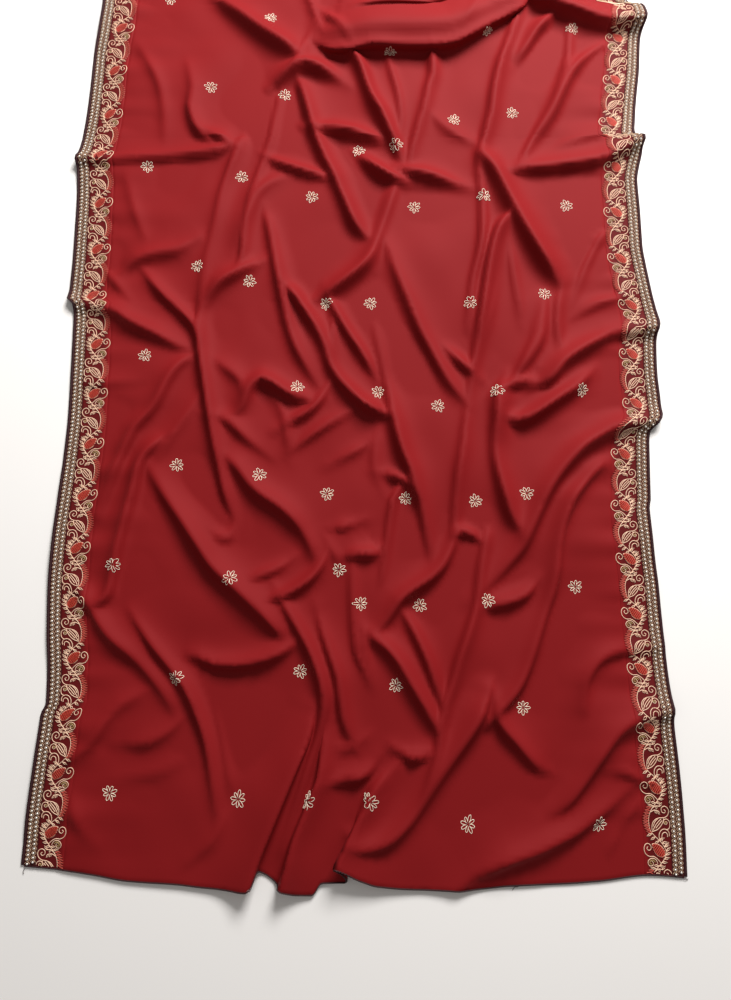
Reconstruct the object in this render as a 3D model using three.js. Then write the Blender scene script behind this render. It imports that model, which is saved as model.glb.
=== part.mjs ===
// A long embroidered shawl, laid on the floor in soft uneven folds.
// Millimetres, +Z up. The length runs along Y: the near hem is at the -Y end and the
// origin is under the middle of the laid cloth, on the surface that it rests on.
import * as THREE from 'three';

// Driving sizes
const LAID_LENGTH = 2180;    // hem to hem as it lies, before each hem's own curve
const CLOTH_WALL = 2.2;      // wall of the crepe field, measured straight up
const VINE_WALL = 2.4;       // the embroidered strip is a little fuller
const BRAID_WALL = 3.0;      // the beaded band stands highest
const BINDING_WALL = 2.6;    // overlocked outer edge
const HEM_WALL = 2.4;        // narrow turned hem
const SEAM = 0.3;            // gap between neighbouring pieces
const BINDING_WIDTH = 2.7;
const BRAID_WIDTH = 12.7;
const VINE_WIDTH = 28.7;
const HEM_WIDTH = 3.0;
const HEM_REACH = 140;       // how far up the cloth a hem's own curve fades out
const RESTING_LIFT = 1.0;    // folds lower than this lie flat on the surface
const FOLD_TAPER = 75;       // longest run-out at either end of a fold
const FOLD_SAMPLES = 12;     // straight pieces along one fold's curved foot
const ROW_STEP = 34;         // longest step between two rows, near half
const FAR_ROW_STEP = 54;     // the same, far half
const FAR_START = 1060;
const CLOSEST_ROWS = 3.5;
const CREASE_STEP = 8;       // rows of an edge table this close together mark a crease
const FIELD_COLUMNS = 40;
const VINE_COLUMNS = 3;

// Offsets from the cloth's side edge to each strip's outer side
const BRAID_AT = BINDING_WIDTH + SEAM;
const VINE_AT = BRAID_AT + BRAID_WIDTH + SEAM;
const FIELD_AT = VINE_AT + VINE_WIDTH + SEAM;

// Side edges of the laid cloth: distance from the near hem, then x.
// Two rows close together are a crosswise crease, where one stretch lies over the next.
const LEFT_EDGE = [
  { y: 0, x: -365 }, { y: 51, x: -363 }, { y: 108, x: -359 }, { y: 150, x: -356 },
  { y: 172, x: -350.5 }, { y: 250, x: -354.5 }, { y: 306, x: -357 }, { y: 354, x: -356 },
  { y: 402, x: -353 }, { y: 450, x: -350 }, { y: 501, x: -348 }, { y: 600, x: -349 },
  { y: 636, x: -350 }, { y: 644, x: -357 }, { y: 700, x: -355.5 }, { y: 751, x: -355.5 },
  { y: 826, x: -358.4 }, { y: 834, x: -357 }, { y: 853, x: -354.5 }, { y: 892, x: -350.6 },
  { y: 970, x: -347 }, { y: 1012, x: -342.5 }, { y: 1057, x: -339.5 }, { y: 1120, x: -341 },
  { y: 1200, x: -346 }, { y: 1290, x: -350 }, { y: 1304, x: -356 }, { y: 1400, x: -352 },
  { y: 1500, x: -348 }, { y: 1620, x: -352 }, { y: 1750, x: -355 }, { y: 1766, x: -349 },
  { y: 1860, x: -351 }, { y: 1960, x: -356 }, { y: 2060, x: -360 }, { y: 2180, x: -364 },
];
const RIGHT_EDGE = [
  { y: 0, x: 340 }, { y: 45, x: 341 }, { y: 102, x: 339 }, { y: 150, x: 336 },
  { y: 250, x: 331.5 }, { y: 342, x: 327 }, { y: 390, x: 325 }, { y: 435, x: 328.5 },
  { y: 480, x: 331.5 }, { y: 492, x: 342 }, { y: 501, x: 346 }, { y: 549, x: 345 },
  { y: 600, x: 347 }, { y: 615, x: 350 }, { y: 630, x: 348 }, { y: 651, x: 344.4 },
  { y: 685, x: 340.5 }, { y: 754, x: 337.5 }, { y: 799, x: 336.6 }, { y: 820, x: 340 },
  { y: 856, x: 343.5 }, { y: 860, x: 334 }, { y: 880, x: 337.5 }, { y: 922, x: 343.5 },
  { y: 952, x: 348 }, { y: 1000, x: 352.5 }, { y: 1024, x: 357 }, { y: 1044, x: 358 },
  { y: 1050, x: 339 }, { y: 1062, x: 334 }, { y: 1120, x: 332 }, { y: 1220, x: 336 },
  { y: 1325, x: 340 }, { y: 1340, x: 332 }, { y: 1450, x: 335 }, { y: 1560, x: 340 },
  { y: 1700, x: 342 }, { y: 1722, x: 334 }, { y: 1850, x: 338 }, { y: 1960, x: 343 },
  { y: 2060, x: 350 }, { y: 2180, x: 356 },
];

// Curves of the two hems: how far each point lies beyond (+Y) the straight line
const NEAR_HEM = [
  { x: -365, dy: 4 }, { x: -323, dy: 0 }, { x: -290, dy: -4.5 }, { x: -251, dy: -11 },
  { x: -200, dy: -14 }, { x: -170, dy: -17 }, { x: -132, dy: -17 }, { x: -118, dy: 0 },
  { x: -104, dy: -5 }, { x: -88, dy: -17 }, { x: -71, dy: -24 }, { x: -54, dy: -25 },
  { x: -45, dy: -13 }, { x: -28, dy: -12 }, { x: -8, dy: -13 }, { x: 0, dy: -10 },
  { x: 18, dy: -16 }, { x: 50, dy: -19 }, { x: 99, dy: -20 }, { x: 150, dy: -16 },
  { x: 249, dy: -11 }, { x: 300, dy: -5.4 }, { x: 340, dy: -8 },
];
const FAR_HEM = [
  { x: -364, dy: -4 }, { x: -250, dy: 6 }, { x: -120, dy: 10 }, { x: -84, dy: 0 },
  { x: -44, dy: 14 }, { x: 20, dy: 16 }, { x: 62, dy: 4 }, { x: 150, dy: 12 },
  { x: 260, dy: 6 }, { x: 356, dy: -2 },
];

// Folds: height, width of the steep side, width of the long back, and the foot's line
// as x, y points. Walking along the line, the steep side drops to the right.
const FOLDS = [
  // Near left quarter, from the hem up
  { high: 11, steep: 24, back: 70, foot: [[-308, 275], [-250, 219], [-214, 165]] },
  { high: 12, steep: 22, back: 45, foot: [[-258, 256], [-203, 197], [-170, 110], [-165, 50]] },
  { high: 16, steep: 22, back: 60, foot: [[-196, 230], [-150, 208], [-84, 228]] },
  { high: 20, steep: 24, back: 80, foot: [[-252, 428], [-178, 327], [-98, 240]] },
  { high: 20, steep: 22, back: 90, foot: [[-135, -70], [-104, 48], [-58, 152], [-60, 225]] },
  { high: 20, steep: 22, back: 55, foot: [[-38, 205], [-47, 105], [-84, -14], [-105, -80]] },
  { high: 13, steep: 28, back: 40, foot: [[-62, -70], [-40, 20], [-12, 95]] },
  { high: 18, steep: 22, back: 70, foot: [[34, 120], [8, 84], [-35, 2], [-52, -60]] },
  { high: 14, steep: 22, back: 28, foot: [[-106, 298], [-72, 236], [-50, 170]] },
  { high: 12, steep: 22, back: 60, foot: [[-40, 168], [-18, 122], [2, 132]] },
  // Near right quarter
  { high: 20, steep: 24, back: 70, foot: [[-10, 16], [54, 60], [112, 138], [126, 168]] },
  { high: 17, steep: 22, back: 42, foot: [[142, 350], [100, 218], [56, 82]] },
  { high: 17, steep: 22, back: 34, foot: [[-4, 262], [42, 213], [74, 146]] },
  { high: 18, steep: 22, back: 60, foot: [[8, 248], [60, 291], [112, 358]] },
  { high: 13, steep: 22, back: 52, foot: [[145, 152], [205, 292], [238, 392], [280, 440]] },
  { high: 21, steep: 24, back: 62, foot: [[128, 285], [192, 376], [270, 464], [380, 492]] },
  { high: 11, steep: 24, back: 62, foot: [[128, 184], [160, 133], [208, 98]] },
  { high: 10, steep: 24, back: 60, foot: [[200, 50], [242, 84], [290, 144]] },
  { high: 13, steep: 24, back: 60, foot: [[105, -12], [204, 27], [288, 82]] },
  // Middle left
  { high: 12, steep: 22, back: 58, foot: [[-165, 842], [-190, 736], [-202, 620], [-157, 378]] },
  { high: 16, steep: 26, back: 66, foot: [[-400, 640], [-310, 622], [-208, 572]] },
  { high: 12, steep: 22, back: 32, foot: [[-202, 564], [-240, 516], [-298, 392]] },
  { high: 13, steep: 22, back: 38, foot: [[-304, 276], [-280, 335], [-230, 470]] },
  { high: 15, steep: 22, back: 50, foot: [[-144, 496], [-119, 536], [-60, 511]] },
  { high: 16, steep: 22, back: 34, foot: [[-98, 655], [-50, 572], [14, 506]] },
  { high: 16, steep: 22, back: 62, foot: [[-174, 447], [-110, 383], [-62, 318]] },
  // Middle right
  { high: 11, steep: 24, back: 52, foot: [[12, 740], [64, 600], [114, 508]] },
  { high: 13, steep: 22, back: 32, foot: [[150, 685], [122, 545], [92, 335]] },
  { high: 17, steep: 22, back: 70, foot: [[158, 548], [146, 462], [172, 354]] },
  { high: 16, steep: 22, back: 38, foot: [[158, 487], [222, 510], [268, 546]] },
  { high: 18, steep: 24, back: 56, foot: [[200, 530], [256, 570], [385, 604]] },
  { high: 18, steep: 22, back: 52, foot: [[12, 576], [34, 470], [76, 322]] },
  // Upper left of the near half
  { high: 13, steep: 22, back: 52, foot: [[-400, 826], [-308, 830], [-185, 837], [-160, 847]] },
  { high: 11, steep: 22, back: 60, foot: [[-222, 938], [-226, 900], [-190, 850]] },
  { high: 18, steep: 28, back: 60, foot: [[-200, 1050], [-125, 990], [-90, 964]] },
  { high: 18, steep: 26, back: 38, foot: [[-108, 930], [-70, 950], [-36, 935]] },
  { high: 16, steep: 22, back: 52, foot: [[-88, 934], [-50, 816], [-2, 724]] },
  { high: 17, steep: 24, back: 34, foot: [[-68, 869], [-40, 863], [4, 856]] },
  // Upper right of the near half, with the tall crosswise roll
  { high: 34, steep: 36, back: 80, foot: [[-48, 990], [60, 983], [152, 1010], [196, 1048]] },
  { high: 26, steep: 34, back: 50, foot: [[205, 1060], [285, 1024], [390, 1022]] },
  { high: 13, steep: 22, back: 52, foot: [[195, 1046], [158, 925], [137, 816]] },
  { high: 18, steep: 22, back: 62, foot: [[140, 832], [172, 764], [234, 654]] },
  { high: 12, steep: 22, back: 34, foot: [[262, 1032], [240, 918], [178, 806]] },
  { high: 18, steep: 26, back: 60, foot: [[184, 810], [260, 823], [385, 858]] },
  { high: 16, steep: 24, back: 34, foot: [[-8, 828], [15, 812], [50, 797]] },
  { high: 14, steep: 24, back: 26, foot: [[-47, 646], [10, 742], [48, 806]] },
  { high: 17, steep: 24, back: 26, foot: [[-26, 978], [16, 888], [34, 850]] },
  { high: 12, steep: 22, back: 34, foot: [[80, 994], [70, 898], [48, 812]] },
  // Far half
  { high: 16, steep: 28, back: 70, foot: [[-250, 1120], [-170, 1210], [-60, 1290]] },
  { high: 14, steep: 28, back: 60, foot: [[300, 1110], [220, 1180], [120, 1230]] },
  { high: 18, steep: 28, back: 70, foot: [[-20, 1120], [10, 1240], [-30, 1380]] },
  { high: 12, steep: 28, back: 60, foot: [[-400, 1300], [-310, 1310], [-200, 1350]] },
  { high: 16, steep: 28, back: 60, foot: [[120, 1300], [150, 1420], [110, 1540]] },
  { high: 14, steep: 28, back: 60, foot: [[390, 1330], [300, 1350], [230, 1400]] },
  { high: 18, steep: 28, back: 70, foot: [[-180, 1400], [-140, 1500], [-60, 1590]] },
  { high: 12, steep: 28, back: 50, foot: [[-290, 1470], [-260, 1580], [-280, 1690]] },
  { high: 16, steep: 28, back: 60, foot: [[40, 1480], [60, 1600], [20, 1720]] },
  { high: 14, steep: 28, back: 60, foot: [[240, 1500], [250, 1610], [200, 1720]] },
  { high: 16, steep: 28, back: 70, foot: [[-110, 1640], [-90, 1760], [-130, 1880]] },
  { high: 12, steep: 28, back: 60, foot: [[-400, 1760], [-310, 1770], [-230, 1810]] },
  { high: 18, steep: 28, back: 60, foot: [[110, 1700], [90, 1840], [130, 1960]] },
  { high: 14, steep: 28, back: 60, foot: [[390, 1720], [300, 1760], [260, 1840]] },
  { high: 18, steep: 28, back: 60, foot: [[-20, 1800], [-40, 1940], [-20, 2080]] },
  { high: 14, steep: 28, back: 60, foot: [[-240, 1900], [-200, 2000], [-220, 2100]] },
  { high: 18, steep: 28, back: 60, foot: [[30, 1960], [50, 2080], [40, 2240]] },
  { high: 18, steep: 26, back: 50, foot: [[-70, 2020], [-90, 2120], [-80, 2240]] },
  { high: 14, steep: 28, back: 60, foot: [[200, 1930], [230, 2030], [180, 2110]] },
  { high: 14, steep: 28, back: 50, foot: [[110, 2080], [130, 2160], [120, 2240]] },
  { high: 12, steep: 28, back: 60, foot: [[-330, 2120], [-260, 2080], [-180, 2050]] },
];

const clamp01 = (t) => Math.min(1, Math.max(0, t));
const lerp = (a, b, t) => a + (b - a) * t;

function smooth(t) {
  const c = clamp01(t);
  return c * c * (3 - 2 * c);
}

// Value of column `out` where column `key` passes `at`, in a table sorted by `key`
function lookUp(table, key, out, at) {
  const next = table.findIndex((row) => row[key] > at);
  if (next === 0) return table[0][out];
  if (next < 0) return table[table.length - 1][out];
  const a = table[next - 1];
  const b = table[next];
  return lerp(a[out], b[out], (at - a[key]) / (b[key] - a[key]));
}

const leftEdge = (y) => lookUp(LEFT_EDGE, 'y', 'x', y);
const rightEdge = (y) => lookUp(RIGHT_EDGE, 'y', 'x', y);

// Each fold's foot as a smooth curve cut into straight pieces, with its length
function traceFoot(fold) {
  const curve = new THREE.CatmullRomCurve3(fold.foot.map(([x, y]) => new THREE.Vector3(x, y, 0)));
  return { ...fold, line: curve.getSpacedPoints(FOLD_SAMPLES), length: curve.getLength() };
}
const TRACED = FOLDS.map(traceFoot);

// Signed distance from the foot (the back is the positive side) and place along it, 0 to 1
function nearestOnFoot(line, x, y) {
  let best = { distance: Infinity, side: 0, along: 0 };
  for (let i = 0; i + 1 < line.length; i += 1) {
    const a = line[i];
    const dx = line[i + 1].x - a.x;
    const dy = line[i + 1].y - a.y;
    const t = clamp01(((x - a.x) * dx + (y - a.y) * dy) / (dx * dx + dy * dy));
    const qx = x - a.x - t * dx;
    const qy = y - a.y - t * dy;
    const distance = Math.hypot(qx, qy);
    if (distance < best.distance) {
      const side = dx * qy - dy * qx >= 0 ? distance : -distance;
      best = { distance, side, along: (i + t) / (line.length - 1) };
    }
  }
  return best;
}

// One fold rises over its steep side to a rounded crest, then falls away along its back
function foldLift(fold, x, y) {
  const { side, along } = nearestOnFoot(fold.line, x, y);
  if (side < -fold.steep || side > fold.steep + fold.back) return 0;
  const rise = smooth(side / fold.steep + 0.5);
  const fall = smooth(1 - (side - fold.steep / 4) / fold.back) ** 1.3;
  const runOut = Math.min(0.5, FOLD_TAPER / fold.length);
  return fold.high * rise * fall * smooth(along / runOut) * smooth((1 - along) / runOut);
}

// Height of the cloth's underside: 0 where it rests on the surface
function liftAt(x, y) {
  const sum = TRACED.reduce((total, fold) => total + foldLift(fold, x, y), 0);
  return Math.max(0, sum - RESTING_LIFT);
}

// The hems' curves, fading out into the cloth
function hemShift(x, y) {
  const near = lookUp(NEAR_HEM, 'x', 'dy', x) * (1 - smooth(y / HEM_REACH));
  const far = lookUp(FAR_HEM, 'x', 'dy', x) * (1 - smooth((LAID_LENGTH - y) / HEM_REACH));
  return near + far;
}

const onCloth = (x, y) => new THREE.Vector3(x, y + hemShift(x, y), liftAt(x, y));

// Rows between the hems, with one on each crosswise crease of either edge
function rowStations(from, to) {
  const creases = [...LEFT_EDGE, ...RIGHT_EDGE]
    .map((row) => row.y)
    .filter((y, _, all) => all.some((other) => other !== y && Math.abs(other - y) <= CREASE_STEP));
  const keys = [from, ...new Set(creases), FAR_START, to].sort((a, b) => a - b);
  const spread = keys.filter((y, i) => i === 0 || y - keys[i - 1] > CLOSEST_ROWS);
  const rows = [from];
  for (let i = 1; i < spread.length; i += 1) {
    const step = spread[i] > FAR_START ? FAR_ROW_STEP : ROW_STEP;
    const count = Math.ceil((spread[i] - spread[i - 1]) / step);
    for (let k = 1; k <= count; k += 1) rows.push(lerp(spread[i - 1], spread[i], k / count));
  }
  return rows;
}

// A closed wall over a grid of points: its underside is the grid and its top the same
// grid raised by the wall. Each cell is split along its flatter diagonal, to keep crests.
function wallOver(grid, wall) {
  const rows = grid.length;
  const columns = grid[0].length;
  const position = [];
  for (const lift of [0, wall]) {
    for (const row of grid) for (const p of row) position.push(p.x, p.y, p.z + lift);
  }
  const under = (r, c) => r * columns + c;
  const over = (r, c) => rows * columns + under(r, c);
  const index = [];
  for (let r = 0; r + 1 < rows; r += 1) {
    for (let c = 0; c + 1 < columns; c += 1) {
      const rising = Math.abs(grid[r][c].z - grid[r + 1][c + 1].z);
      const falling = Math.abs(grid[r][c + 1].z - grid[r + 1][c].z);
      const quad = [[r, c], [r, c + 1], [r + 1, c + 1], [r + 1, c]];
      const [p, q, s, t] = rising <= falling ? quad : [quad[1], quad[2], quad[3], quad[0]];
      index.push(over(...p), over(...q), over(...s), over(...p), over(...s), over(...t));
      index.push(under(...p), under(...s), under(...q), under(...p), under(...t), under(...s));
    }
  }
  const close = (a, b) => {
    index.push(under(...a), under(...b), over(...b));
    index.push(under(...a), over(...b), over(...a));
  };
  for (let c = 0; c + 1 < columns; c += 1) {
    close([0, c], [0, c + 1]);
    close([rows - 1, c + 1], [rows - 1, c]);
  }
  for (let r = 0; r + 1 < rows; r += 1) {
    close([r + 1, 0], [r, 0]);
    close([r, columns - 1], [r + 1, columns - 1]);
  }
  const geometry = new THREE.BufferGeometry();
  geometry.setAttribute('position', new THREE.Float32BufferAttribute(position, 3));
  geometry.setIndex(index);
  geometry.computeVertexNormals();
  return geometry;
}

// Lines that keep a set distance in from either side edge
const fromLeft = (inset) => (y) => leftEdge(y) + inset;
const fromRight = (inset) => (y) => rightEdge(y) - inset;

// The strips of one side, from the cloth's edge inwards
const STRIPS = [
  { kind: 'binding', columns: 1, wall: BINDING_WALL, from: 0, to: BINDING_WIDTH },
  { kind: 'braid', columns: 1, wall: BRAID_WALL, from: BRAID_AT, to: VINE_AT - SEAM },
  { kind: 'border', columns: VINE_COLUMNS, wall: VINE_WALL, from: VINE_AT, to: FIELD_AT - SEAM },
];
const onLeft = ({ kind, columns, wall, from, to }) => (
  { name: `${kind}_left`, columns, wall, start: fromLeft(from), end: fromLeft(to) }
);
const onRight = ({ kind, columns, wall, from, to }) => (
  { name: `${kind}_right`, columns, wall, start: fromRight(to), end: fromRight(from) }
);
const field = {
  name: 'field',
  columns: FIELD_COLUMNS,
  wall: CLOTH_WALL,
  start: fromLeft(FIELD_AT),
  end: fromRight(FIELD_AT),
};

// The seven lengthwise pieces, from the left edge to the right one
const LENGTHWISE = [...STRIPS.map(onLeft), field, ...STRIPS.map(onRight).reverse()];
const isBinding = (piece) => piece.name.startsWith('binding');

function columnsAt(piece, y) {
  const steps = Array.from({ length: piece.columns + 1 }, (_, c) => c / piece.columns);
  return steps.map((t) => lerp(piece.start(y), piece.end(y), t));
}

// Every lengthwise piece stops short of the hems but the bindings, which run to the ends
function lengthwiseGeometry(piece) {
  const rows = rowStations(HEM_WIDTH + SEAM, LAID_LENGTH - HEM_WIDTH - SEAM);
  const stations = isBinding(piece) ? [0, ...rows, LAID_LENGTH] : rows;
  const grid = stations.map((y) => columnsAt(piece, y).map((x) => onCloth(x, y)));
  return wallOver(grid, piece.wall);
}

// A hem crosses every piece but the bindings, on the same columns
function hemGeometry(isNear) {
  const outer = isNear ? 0 : LAID_LENGTH;
  const inner = isNear ? HEM_WIDTH : LAID_LENGTH - HEM_WIDTH;
  const inside = LENGTHWISE.filter((piece) => !isBinding(piece));
  const rowAt = (y) => inside.flatMap((piece) => columnsAt(piece, y)).map((x) => onCloth(x, y));
  const rows = isNear ? [outer, inner] : [inner, outer];
  return wallOver(rows.map(rowAt), HEM_WALL);
}

const MATERIALS = {
  field: new THREE.MeshStandardMaterial({ color: 0x8e2428, roughness: 0.62, metalness: 0 }),
  border: new THREE.MeshStandardMaterial({ color: 0x9c3a35, roughness: 0.7, metalness: 0 }),
  braid: new THREE.MeshStandardMaterial({ color: 0xa98f7c, roughness: 0.45, metalness: 0.2 }),
  binding: new THREE.MeshStandardMaterial({ color: 0x4a1820, roughness: 0.8, metalness: 0 }),
  hem: new THREE.MeshStandardMaterial({ color: 0x5a1a20, roughness: 0.75, metalness: 0 }),
};

function named(name, geometry) {
  const mesh = new THREE.Mesh(geometry, MATERIALS[name.split('_')[0]]);
  mesh.name = name;
  return mesh;
}

const shawl = new THREE.Group();
for (const piece of LENGTHWISE) shawl.add(named(piece.name, lengthwiseGeometry(piece)));
shawl.add(named('hem_near', hemGeometry(true)));
shawl.add(named('hem_far', hemGeometry(false)));

// The middle of the laid cloth's box goes over the origin
const box = new THREE.Box3().setFromObject(shawl);
const middle = box.getCenter(new THREE.Vector3());
shawl.position.set(-middle.x, -middle.y, -box.min.z);

export default shawl;
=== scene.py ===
# A long red crepe shawl with vine-embroidered borders, laid on the floor in soft uneven folds.
# Tables are in millimetres in the laid cloth's own plane: x across from the middle of the
# photographed stretch, y up from the straight line of the near hem, z above the floor.
import math

import bmesh
import bpy
import numpy as np
from mathutils import Matrix, Vector


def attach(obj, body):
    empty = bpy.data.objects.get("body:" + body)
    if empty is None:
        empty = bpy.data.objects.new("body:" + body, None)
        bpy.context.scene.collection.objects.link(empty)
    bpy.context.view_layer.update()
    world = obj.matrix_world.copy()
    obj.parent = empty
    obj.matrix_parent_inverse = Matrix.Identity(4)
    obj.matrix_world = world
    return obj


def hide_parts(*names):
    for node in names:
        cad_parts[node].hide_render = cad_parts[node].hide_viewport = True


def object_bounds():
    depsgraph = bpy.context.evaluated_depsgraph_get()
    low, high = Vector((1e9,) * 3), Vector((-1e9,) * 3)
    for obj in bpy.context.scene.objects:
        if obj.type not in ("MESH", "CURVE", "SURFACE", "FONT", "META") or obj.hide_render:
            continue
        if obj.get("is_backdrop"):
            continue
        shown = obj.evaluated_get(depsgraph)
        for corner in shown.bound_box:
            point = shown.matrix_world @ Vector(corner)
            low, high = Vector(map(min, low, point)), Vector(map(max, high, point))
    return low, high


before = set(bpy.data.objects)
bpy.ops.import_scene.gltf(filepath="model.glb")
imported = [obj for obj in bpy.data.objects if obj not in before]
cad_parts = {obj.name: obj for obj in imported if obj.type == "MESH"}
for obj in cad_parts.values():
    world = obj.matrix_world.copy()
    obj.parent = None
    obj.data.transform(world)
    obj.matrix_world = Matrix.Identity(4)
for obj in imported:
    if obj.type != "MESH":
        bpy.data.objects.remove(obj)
CAD_LOW, CAD_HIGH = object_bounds()

MM = 0.001

# The cloth as laid
LAID_LENGTH = 2180.0
CLOTH_WALL = 1.1
HEM_WIDTH = 1.6
# How far up the cloth a hem's own curve still draws it
HEM_REACH = 140.0

# The bands along each side, from the edge inwards, with a seam's gap between them
SEAM = 0.3
BINDING_WIDTH = 2.7
BRAID_WIDTH = 12.7
VINE_WIDTH = 28.7
BRAID_AT = BINDING_WIDTH + SEAM
VINE_AT = BRAID_AT + BRAID_WIDTH + SEAM
FIELD_AT = VINE_AT + VINE_WIDTH + SEAM

# The tables' zero in the part's frame, from the outermost places of the laid cloth
LOWEST_EDGE = -24.7
LEFTMOST_EDGE = -365.0
ORIGIN = (CAD_LOW.x - LEFTMOST_EDGE * MM, CAD_LOW.y - LOWEST_EDGE * MM)

# A fold's line: the spacing of its points, and how far it runs on past both ends
FOLD_STEP = 9.0
FOLD_RUN_ON = 27.0
# A fold's profile, as shares of the steep side's width: the crest's place and its rounding,
# and how fast the steep side falls
CREST_AT = 0.45
CREST_ROUND = 0.25
STEEP_FALL = 0.32
# How fast the soft back falls, as a share of its reach
BACK_FALL = 0.48
# How many falls away from the crest a fold still lifts the cloth
FALLS_REACHED = 5.0
# A fold's usual lean, as a share of the steep fall, and the lift at which it leans in full
CREST_LEAN = 0.4
LEAN_AT = 13.0
# Crests stand this many times the tables' heights, and folds that meet join by a power sum
FOLD_GAIN = 1.25
JOIN_POWER = 2.2
# No place of the cloth lifts above this
HIGHEST = 40.0

# Side edges: y up the cloth, x of the edge
LEFT_EDGE = np.array([
    (0, -365), (51, -363), (108, -359), (150, -356), (160, -355.5), (172, -350.5), (210, -351.5),
    (250, -354.5), (306, -357), (354, -356), (402, -353), (450, -350), (501, -348), (600, -349),
    (637, -350), (643, -357), (700, -355.5), (751, -355.5), (800, -356.6), (828, -358.4),
    (834, -356.5), (853, -354.5), (892, -350.6), (931, -348.5), (970, -347), (1012, -342.5),
    (1057, -339.5), (1120, -341), (1200, -346), (1290, -350), (1304, -356), (1400, -352),
    (1500, -348), (1620, -352), (1750, -355), (1766, -349), (1860, -351), (1960, -356),
    (2060, -360), (2180, -364),
])
RIGHT_EDGE = np.array([
    (0, 340), (45, 341), (102, 339), (150, 336), (201, 334), (250, 331.5), (300, 330), (342, 327),
    (390, 325), (397, 327), (435, 328.5), (468, 330), (480, 331.5), (492, 342), (501, 346),
    (516, 346.5), (549, 345), (600, 347), (615, 350), (630, 348), (651, 344.4), (685, 340.5),
    (715, 337.5), (754, 337.5), (799, 336.6), (820, 340), (838, 343.5), (857, 343.5), (860, 334),
    (880, 337.5), (922, 343.5), (952, 348), (1000, 352.5), (1024, 357), (1042, 358.5),
    (1047, 356), (1050, 339), (1062, 334), (1120, 332), (1220, 336), (1325, 340), (1340, 332),
    (1450, 335), (1560, 340), (1700, 342), (1722, 334), (1850, 338), (1960, 343), (2060, 350),
    (2180, 356),
])

# The hems' own curves: x across, and how far beyond the straight line
NEAR_HEM = np.array([
    (-365, 4), (-323, 0), (-290, -4.5), (-251, -11), (-200, -14), (-170, -17), (-140, -18),
    (-131, -16.5), (-119, 0), (-107, -4), (-92, -14), (-86, -18), (-71, -24), (-56, -25),
    (-46, -13), (-22, -13), (-13, -9), (-5, 3), (8, -9), (20, -15.5), (50, -19), (99, -20),
    (129, -18), (150, -16), (216, -13.5), (249, -11), (300, -5.4), (340, -8),
])
FAR_HEM = np.array([
    (-364, -4), (-250, 6), (-120, 10), (-84, 0), (-44, 14), (20, 16), (62, 4), (150, 12),
    (260, 6), (356, -2),
])

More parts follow.
